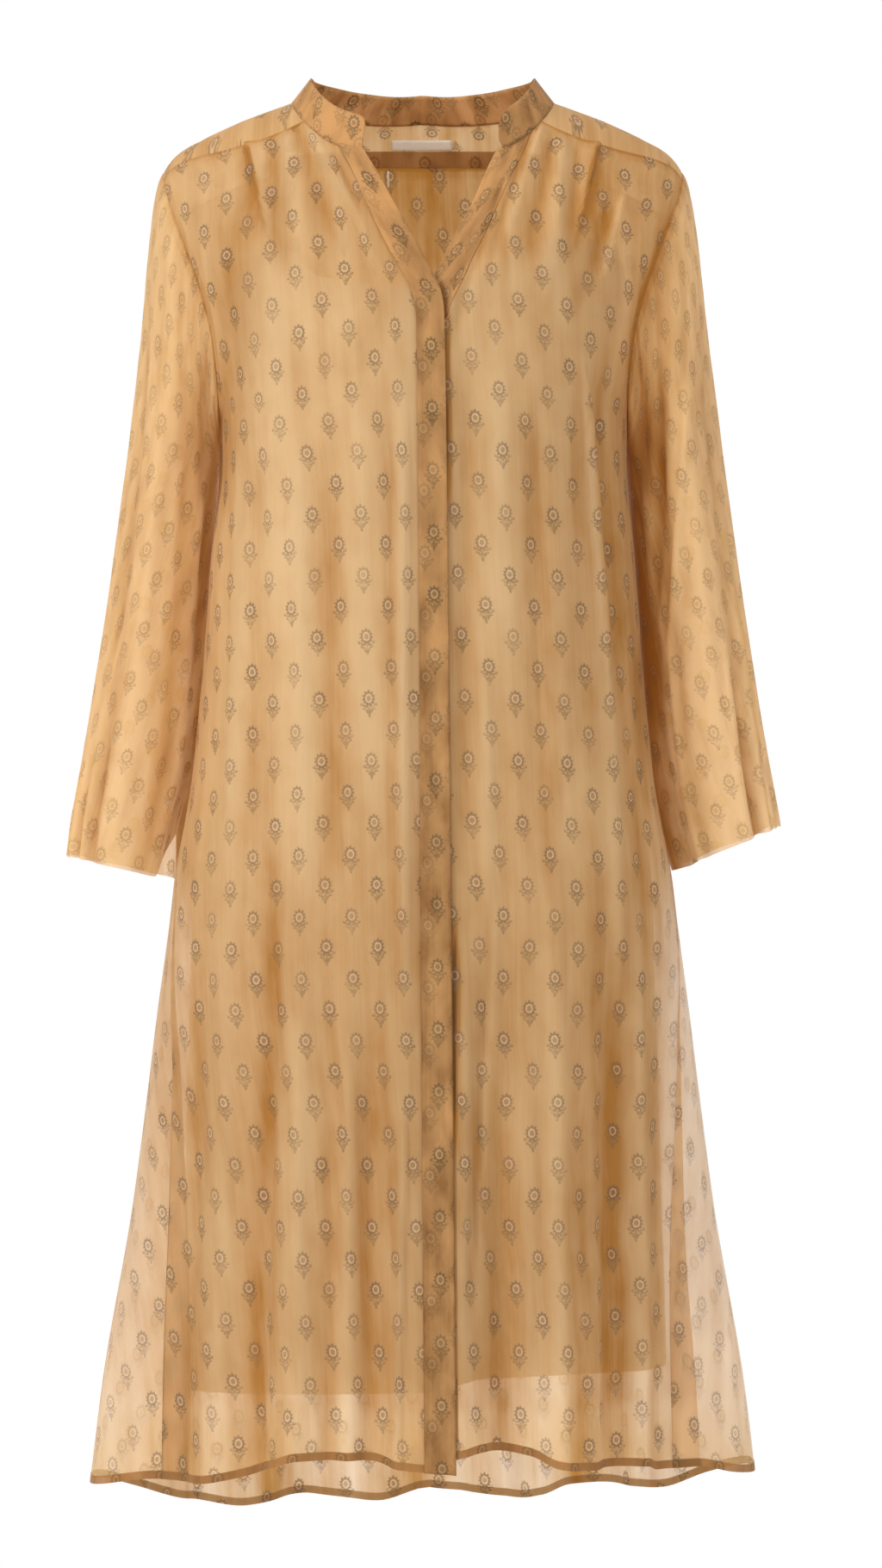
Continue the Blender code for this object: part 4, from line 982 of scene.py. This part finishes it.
def build_collar():
    start, end = float(neck_turn(-48)), float(neck_turn(62))
    share = np.linspace(0, 1, 170)
    turn = mix(start, end - 2, mix(share, smooth(share), 0.6))
    turn = np.where(turn > -1, turn, turn + 2)
    seam = neck_point(turn)
    run = run_along(seam)
    away = run[-1] - run
    height = collar_height(np.abs(turn)) - corner_rise(7, run) - corner_rise(19, away)
    foot = corner_rise(6, away) - 1.5
    outward = seam * np.array([1, 1, 0])
    outward /= np.linalg.norm(outward, axis=1, keepdims=True)
    up = np.array([0, 0, 1]) - collar_lean(np.abs(turn))[:, None] * outward
    up /= np.linalg.norm(up, axis=1, keepdims=True)
    reach = mix(foot[:, None], height[:, None], np.linspace(0, 1, 10)[None])
    points = seam[:, None] + up[:, None] * reach[..., None]
    uv = np.stack([run[:, None] + 0 * reach, 8 + reach], -1)
    ahead = grow_below(seam[:, 1], 20, 30)
    # the front of the collar: painted light at the wearer's right and painted shade at the wearer's left
    tone = mix(0.05, np.where(seam[:, 0] < 0, -0.15, 0.26), ahead)[:, None]
    piece = shell("collar", points, uv, DOUBLE, ["collar"], tone=tone)
    thicken(piece, 1.6)


def sleeve_ring(rings, turn, hand, k):
    """Points round a sleeve at one row of its table, from its inner side over the front."""
    z, outer, inner, front, back, drop = (np.array([ring[i] for ring in rings], float)[k] for i in range(6))
    outer = outer + (4 if hand > 0 else 0)
    angle = turn * 2 * math.pi
    across = (outer + inner) / 2 - (outer - inner) / 2 * np.cos(angle)
    depth = np.where(np.sin(angle) > 0, front, back)
    inward = (1 + np.cos(angle)) / 2
    y = 4 + SLEEVE_BACK_SET * inward - depth * np.sin(angle)
    return np.stack([hand * across, y, z - drop * inward], -1)


def build_sleeve(name, hand, end):
    rings = SLEEVE_RINGS + (end,)
    turn = np.linspace(0, 1, 121)
    lift = (1 - np.cos(turn * 2 * math.pi)) / 2
    seam_z = mix(-256, -56, lift)
    x = armhole_x(seam_z)
    y = np.where(turn < 0.5, -depth_at(x, seam_z, -1), depth_at(x, seam_z, 1))
    start = np.stack([hand * x, y, seam_z], -1)
    ring = [sleeve_ring(rings, turn, hand, k) for k in range(len(rings))]
    # from the armhole to the first ring, one smooth curve
    leave = np.stack([hand * mix(1, 42, lift), 0 * lift, -mix(20, 30, lift)], -1)
    forward = ring[1] - ring[0]
    forward /= np.linalg.norm(forward, axis=1, keepdims=True)
    arrive = forward * np.linalg.norm(ring[0] - start, axis=1, keepdims=True) * 0.9
    head = np.array(
        [
            start * ((1 + 2 * t) * (1 - t) ** 2)
            + ring[0] * (t * t * (3 - 2 * t))
            + leave * (t * (1 - t) ** 2)
            - arrive * (t * t * (1 - t))
            for t in np.linspace(0, 1, 61)[:-1]
        ]
    )
    places = np.linspace(0, len(rings) - 1, 100)
    low = np.zeros((len(places), len(turn), 3))
    for i in range(len(turn)):
        for axis in range(3):
            low[:, i, axis] = curve([(k, ring[k][i, axis]) for k in range(len(rings))])(places)
    grid = np.concatenate([head, low], 0).transpose(1, 0, 2)
    # creases move the cloth along its own outward direction
    du = np.roll(grid[:-1], -1, 0) - np.roll(grid[:-1], 1, 0)
    dv = np.gradient(grid[:-1], axis=1)
    normal = np.cross(du, dv) * hand
    normal /= np.linalg.norm(normal, axis=-1, keepdims=True) + 1e-9
    normal = np.concatenate([normal, normal[:1]], 0)
    if ((grid - grid.mean(0)[None]) * normal).sum() < 0:
        normal = -normal
    round_mm = lengths(grid, 0)[-1][None, :]
    along = lengths(grid, 1)
    to_end = along[:, -1:] - along
    height = 0
    for t0, z0, t1, z1, w0, w1, most in SLEEVE_CREASES + (LEFT_SLEEVE_CREASES if hand > 0 else ()):
        t = np.clip((z0 - grid[..., 2]) / (z0 - z1), 0, 1)
        gap = (turn[:, None] - mix(t0, t1, t) + 0.5) % 1 - 0.5
        height = height + most * smooth(t / 0.25) * bell(gap * round_mm / mix(w0, w1, t))
    height = height + 0.7 * ripple(turn[:, None] * round_mm, grid[..., 2], 11 + hand, 24)
    height = height * smooth(along / 22)
    # the sleeve stays clear of the body on its inner side
    reach = np.abs((turn + 0.5) % 1 - 0.5)[:, None]
    height = height * mix(0.35, 1, smooth(reach / 0.14))
    points = grid + normal * height[..., None]
    points[..., 2] = mix(grid[..., 2], points[..., 2], smooth(to_end / 20))
    ahead = np.sin(turn * 2 * math.pi)[:, None] > 0
    if hand < 0:
        # at the wearer's right the front edge turns up toward the body, and the back layer is seen alone
        inward = np.clip((217 - np.abs(grid[:, -1:, 0])) / 16, 0, 1)
        inward = inward * np.where(ahead, 1, grow_past(turn[:, None], 0.95, 0.05))
        points[..., 2] += SLEEVE_TURN_UP * inward * smooth(1 - to_end / 120)
    # the print leans with the cut of the sleeve: its rows are turned a little from the length
    across, down = hand * (turn[:, None] - 0.5) * round_mm + 0 * along, along[:, 60:61] - along
    sin, cos = hand * math.sin(SLEEVE_PRINT_TURN), math.cos(SLEEVE_PRINT_TURN)
    uv = np.stack([cos * across + sin * down, cos * down - sin * across], -1)
    edges = np.maximum(1 - grow_past(along, 1, 2.5), 0.3 * (1 - grow_past(along, 7, 3)))
    low = grow_below(grid[..., 2], -300, 300)
    # the side next to the body is deeper and hides more: painted shade where the body shadows it; the
    # creases get painted shade in their troughs and painted highlight on their ridges
    near = 1 - grow_past(reach, 0.04, 0.09)
    tone = 0.45 * edges - 0.08 * height + (0.22 if hand > 0 else 0.15) * near
    # the outer side is paler: painted light, as if lit through
    tone = tone - 0.2 * grow_past(reach, 0.3, 0.12)
    cover = mix(0.08, 0.05, low) + 0.1 * edges + mix(0.25, 0.1, low) * near
    if hand > 0:
        # at the wearer's left, painted shade: below the armhole on the side next to the body, beside the
        # long fold toward the body, where the cloth also lies double and hides more, and along the front of
        # the armhole
        x, z = np.abs(grid[..., 0]), grid[..., 2]
        double = 1 - smooth((x - fold_line(z)) / 2.5)
        double = double * grow_below(z, -90, 40) * (1 - grow_below(z, -440, 90)) * ahead
        tone = tone + 0.3 * near * (z < -250) + 0.2 * double + 0.25 * bell(along / 14) * ahead
        cover = cover + 0.08 * double
    piece = shell(name, points, uv, SLEEVE, [name], True, tone, cover)


def build_slip():
    turn = np.linspace(-1, 1, 90)
    angle = np.abs(turn)[:, None] * math.pi / 2
    share = np.copysign(np.sin(angle[:, 0]) ** (2 / ROUND), turn)
    for name, side, flat, area in (
        ("slip_front", -1, (0.54, 0.91), 0.43),
        ("slip_back", 1, (0.54, 0.85), 0.40),
    ):
        top = np.full(turn.shape, -200.0)
        hem = mix(-1040, -1024, (turn + 1) / 2)
        if side < 0:
            top = solve(lambda z: z - slip_top(slip_half(z) * share), top - 40, top + 100)
            hem = hem + 10 * smooth(turn / 0.12) * (1 - 0.6 * grow_past(turn, 0.3, 0.6))
        z = hem[:, None] + (top - hem)[:, None] * np.linspace(0, 1, 160)[None]
        x = slip_half(z) * share[:, None]
        y = side * (slip_front(z) if side < 0 else slip_back(z)) * np.cos(angle) ** (2 / ROUND)
        wave = 2.2 * ripple(x, z, 21 + side, 52) * grow_below(z, -420, 400) * np.cos(angle)
        points = np.stack([x, y + side * wave, z], -1)
        piece = shell(name, points, uv_of(points), SATIN, [name])
    for name, hand in (("slip_strap_right", -1), ("slip_strap_left", 1)):
        rail = []
        for k in range(25):
            angle = math.pi * (k + 0.5) / 25
            z = mix(ARCH_FROM, float(ridge(STRAP_X)), math.sin(angle) ** (2 / ROUND)) - STRAP_IN
            side = -1 if math.cos(angle) > 0 else 1
            if z > -122:
                depth = float(depth_at(STRAP_X, z + STRAP_IN, side)) - STRAP_IN
                rail.append((side * max(depth, 0), z))
        rail = [(-93, -127)] + rail + [(87, -150), (82, -199)]
        points = np.array([[(hand * (STRAP_X + w), y, z) for y, z in rail] for w in (-3.5, 0, 3.5)], float)
        shell(name, points, uv_of(points), SATIN, [name])


def inside_back(x, z, step, drop):
    """Points a step inside the back panel, lowered by a drop."""
    return np.stack([x, depth_at(x, z, 1) - step, z - drop], -1)


def build_neck_inside():
    x, share = np.meshgrid(np.linspace(-112, 112, 60), np.linspace(0, 1, 6), indexing="ij")
    grid = inside_back(x, back_yoke_level(x) + 13 * share, 2.1, 1)
    piece = shell("yoke_seam_band", grid, uv_of(grid), SEAMED, ["yoke_seam_band"])
    for name, x, z, step, wall in (
        ("label", np.linspace(-26, 24, 20), np.linspace(-25.4, -17.4, 5), 2.1, 0.5),
        ("hanger_loop", np.linspace(-30.0, -28.4, 3), np.linspace(-53, -40, 8), 6, 0.4),
    ):
        x, z = np.meshgrid(x, z, indexing="ij")
        grid = inside_back(x, z, step, step / 2)
        thicken(shell(name, grid, uv_of(grid), RIBBON, [name]), wall)


# In metres: the floor, and a camera straight in front that takes in this height at the garment
FLOOR_LEVEL, FLOOR_RADIUS = -1.45, 1.58
CAMERA_X, CAMERA_AWAY, CAMERA_LEVEL, FRAME_TALL = 0.0147, 4.0, -0.552, 1.2747
SKY_LIGHT = 0.635


def build_stage():
    at = (0, 0, FLOOR_LEVEL)
    bpy.ops.mesh.primitive_circle_add(vertices=96, radius=FLOOR_RADIUS, fill_type="NGON", location=at)
    floor = bpy.context.active_object
    floor.name = "floor"
    # matt painted board: a pale, even ground
    made = bpy.data.materials.new("pale_floor")
    made.use_nodes = True
    shader = made.node_tree.nodes["Principled BSDF"]
    shader.inputs["Base Color"].default_value = colour("#F9F9F9")
    shader.inputs["Roughness"].default_value = 0.9
    floor.data.materials.append(made)
    world = bpy.data.worlds.new("studio")
    bpy.context.scene.world = world
    world.use_nodes = True
    tree = world.node_tree
    sky = tree.nodes["Background"]
    sky.inputs[0].default_value = colour("#FFFFFF")
    # plain white where it is seen, and weaker as a light
    path = node(tree, "ShaderNodeLightPath")
    strength = node(tree, RANGE, {0: path.outputs["Is Camera Ray"], 3: SKY_LIGHT, 4: 1.0})
    tree.links.new(strength.outputs[0], sky.inputs[1])
    # each lamp's place and aim in metres, its size across in metres and its power in watts
    lamps = (
        ("key", (-3.2, -2.2, 1.1), (0, 0, -0.5), 1.2, 80),
        ("fill", (1.4, -3.4, 0.3), (0, 0, -0.4), 2.2, 26),
        ("top", (0.0, -1.3, 2.3), (0, 0, -0.2), 1.4, 20),
        ("behind", (0.0, 2.8, -0.4), (0, 0, -0.6), 3.2, 52),
    )
    for name, place, aim, size, power in lamps:
        light = bpy.data.lights.new(name, "AREA")
        light.shape = "DISK"
        light.size = size
        light.energy = power
        lamp = bpy.data.objects.new(name, light)
        lamp.location = place
        lamp.rotation_euler = (Vector(aim) - Vector(place)).to_track_quat("-Z", "Y").to_euler()
        lamp.visible_camera = False
        bpy.context.scene.collection.objects.link(lamp)
    view = bpy.data.cameras.new("camera")
    view.sensor_width = 36
    view.sensor_fit = "AUTO"
    view.lens = view.sensor_width / (FRAME_TALL / CAMERA_AWAY)
    view.clip_end = 60
    camera = bpy.data.objects.new("camera", view)
    camera.location = (CAMERA_X, -CAMERA_AWAY, CAMERA_LEVEL)
    camera.rotation_euler = (math.pi / 2, 0, 0)
    bpy.context.scene.collection.objects.link(camera)
    bpy.context.scene.camera = camera
    bpy.context.scene.view_settings.view_transform = "Standard"


build_stage()
build_fronts()
build_back()
build_yoke()
build_collar()
build_sleeve("sleeve_right", -1, SLEEVE_END_RIGHT)
build_sleeve("sleeve_left", 1, SLEEVE_END_LEFT)
build_slip()
build_neck_inside()
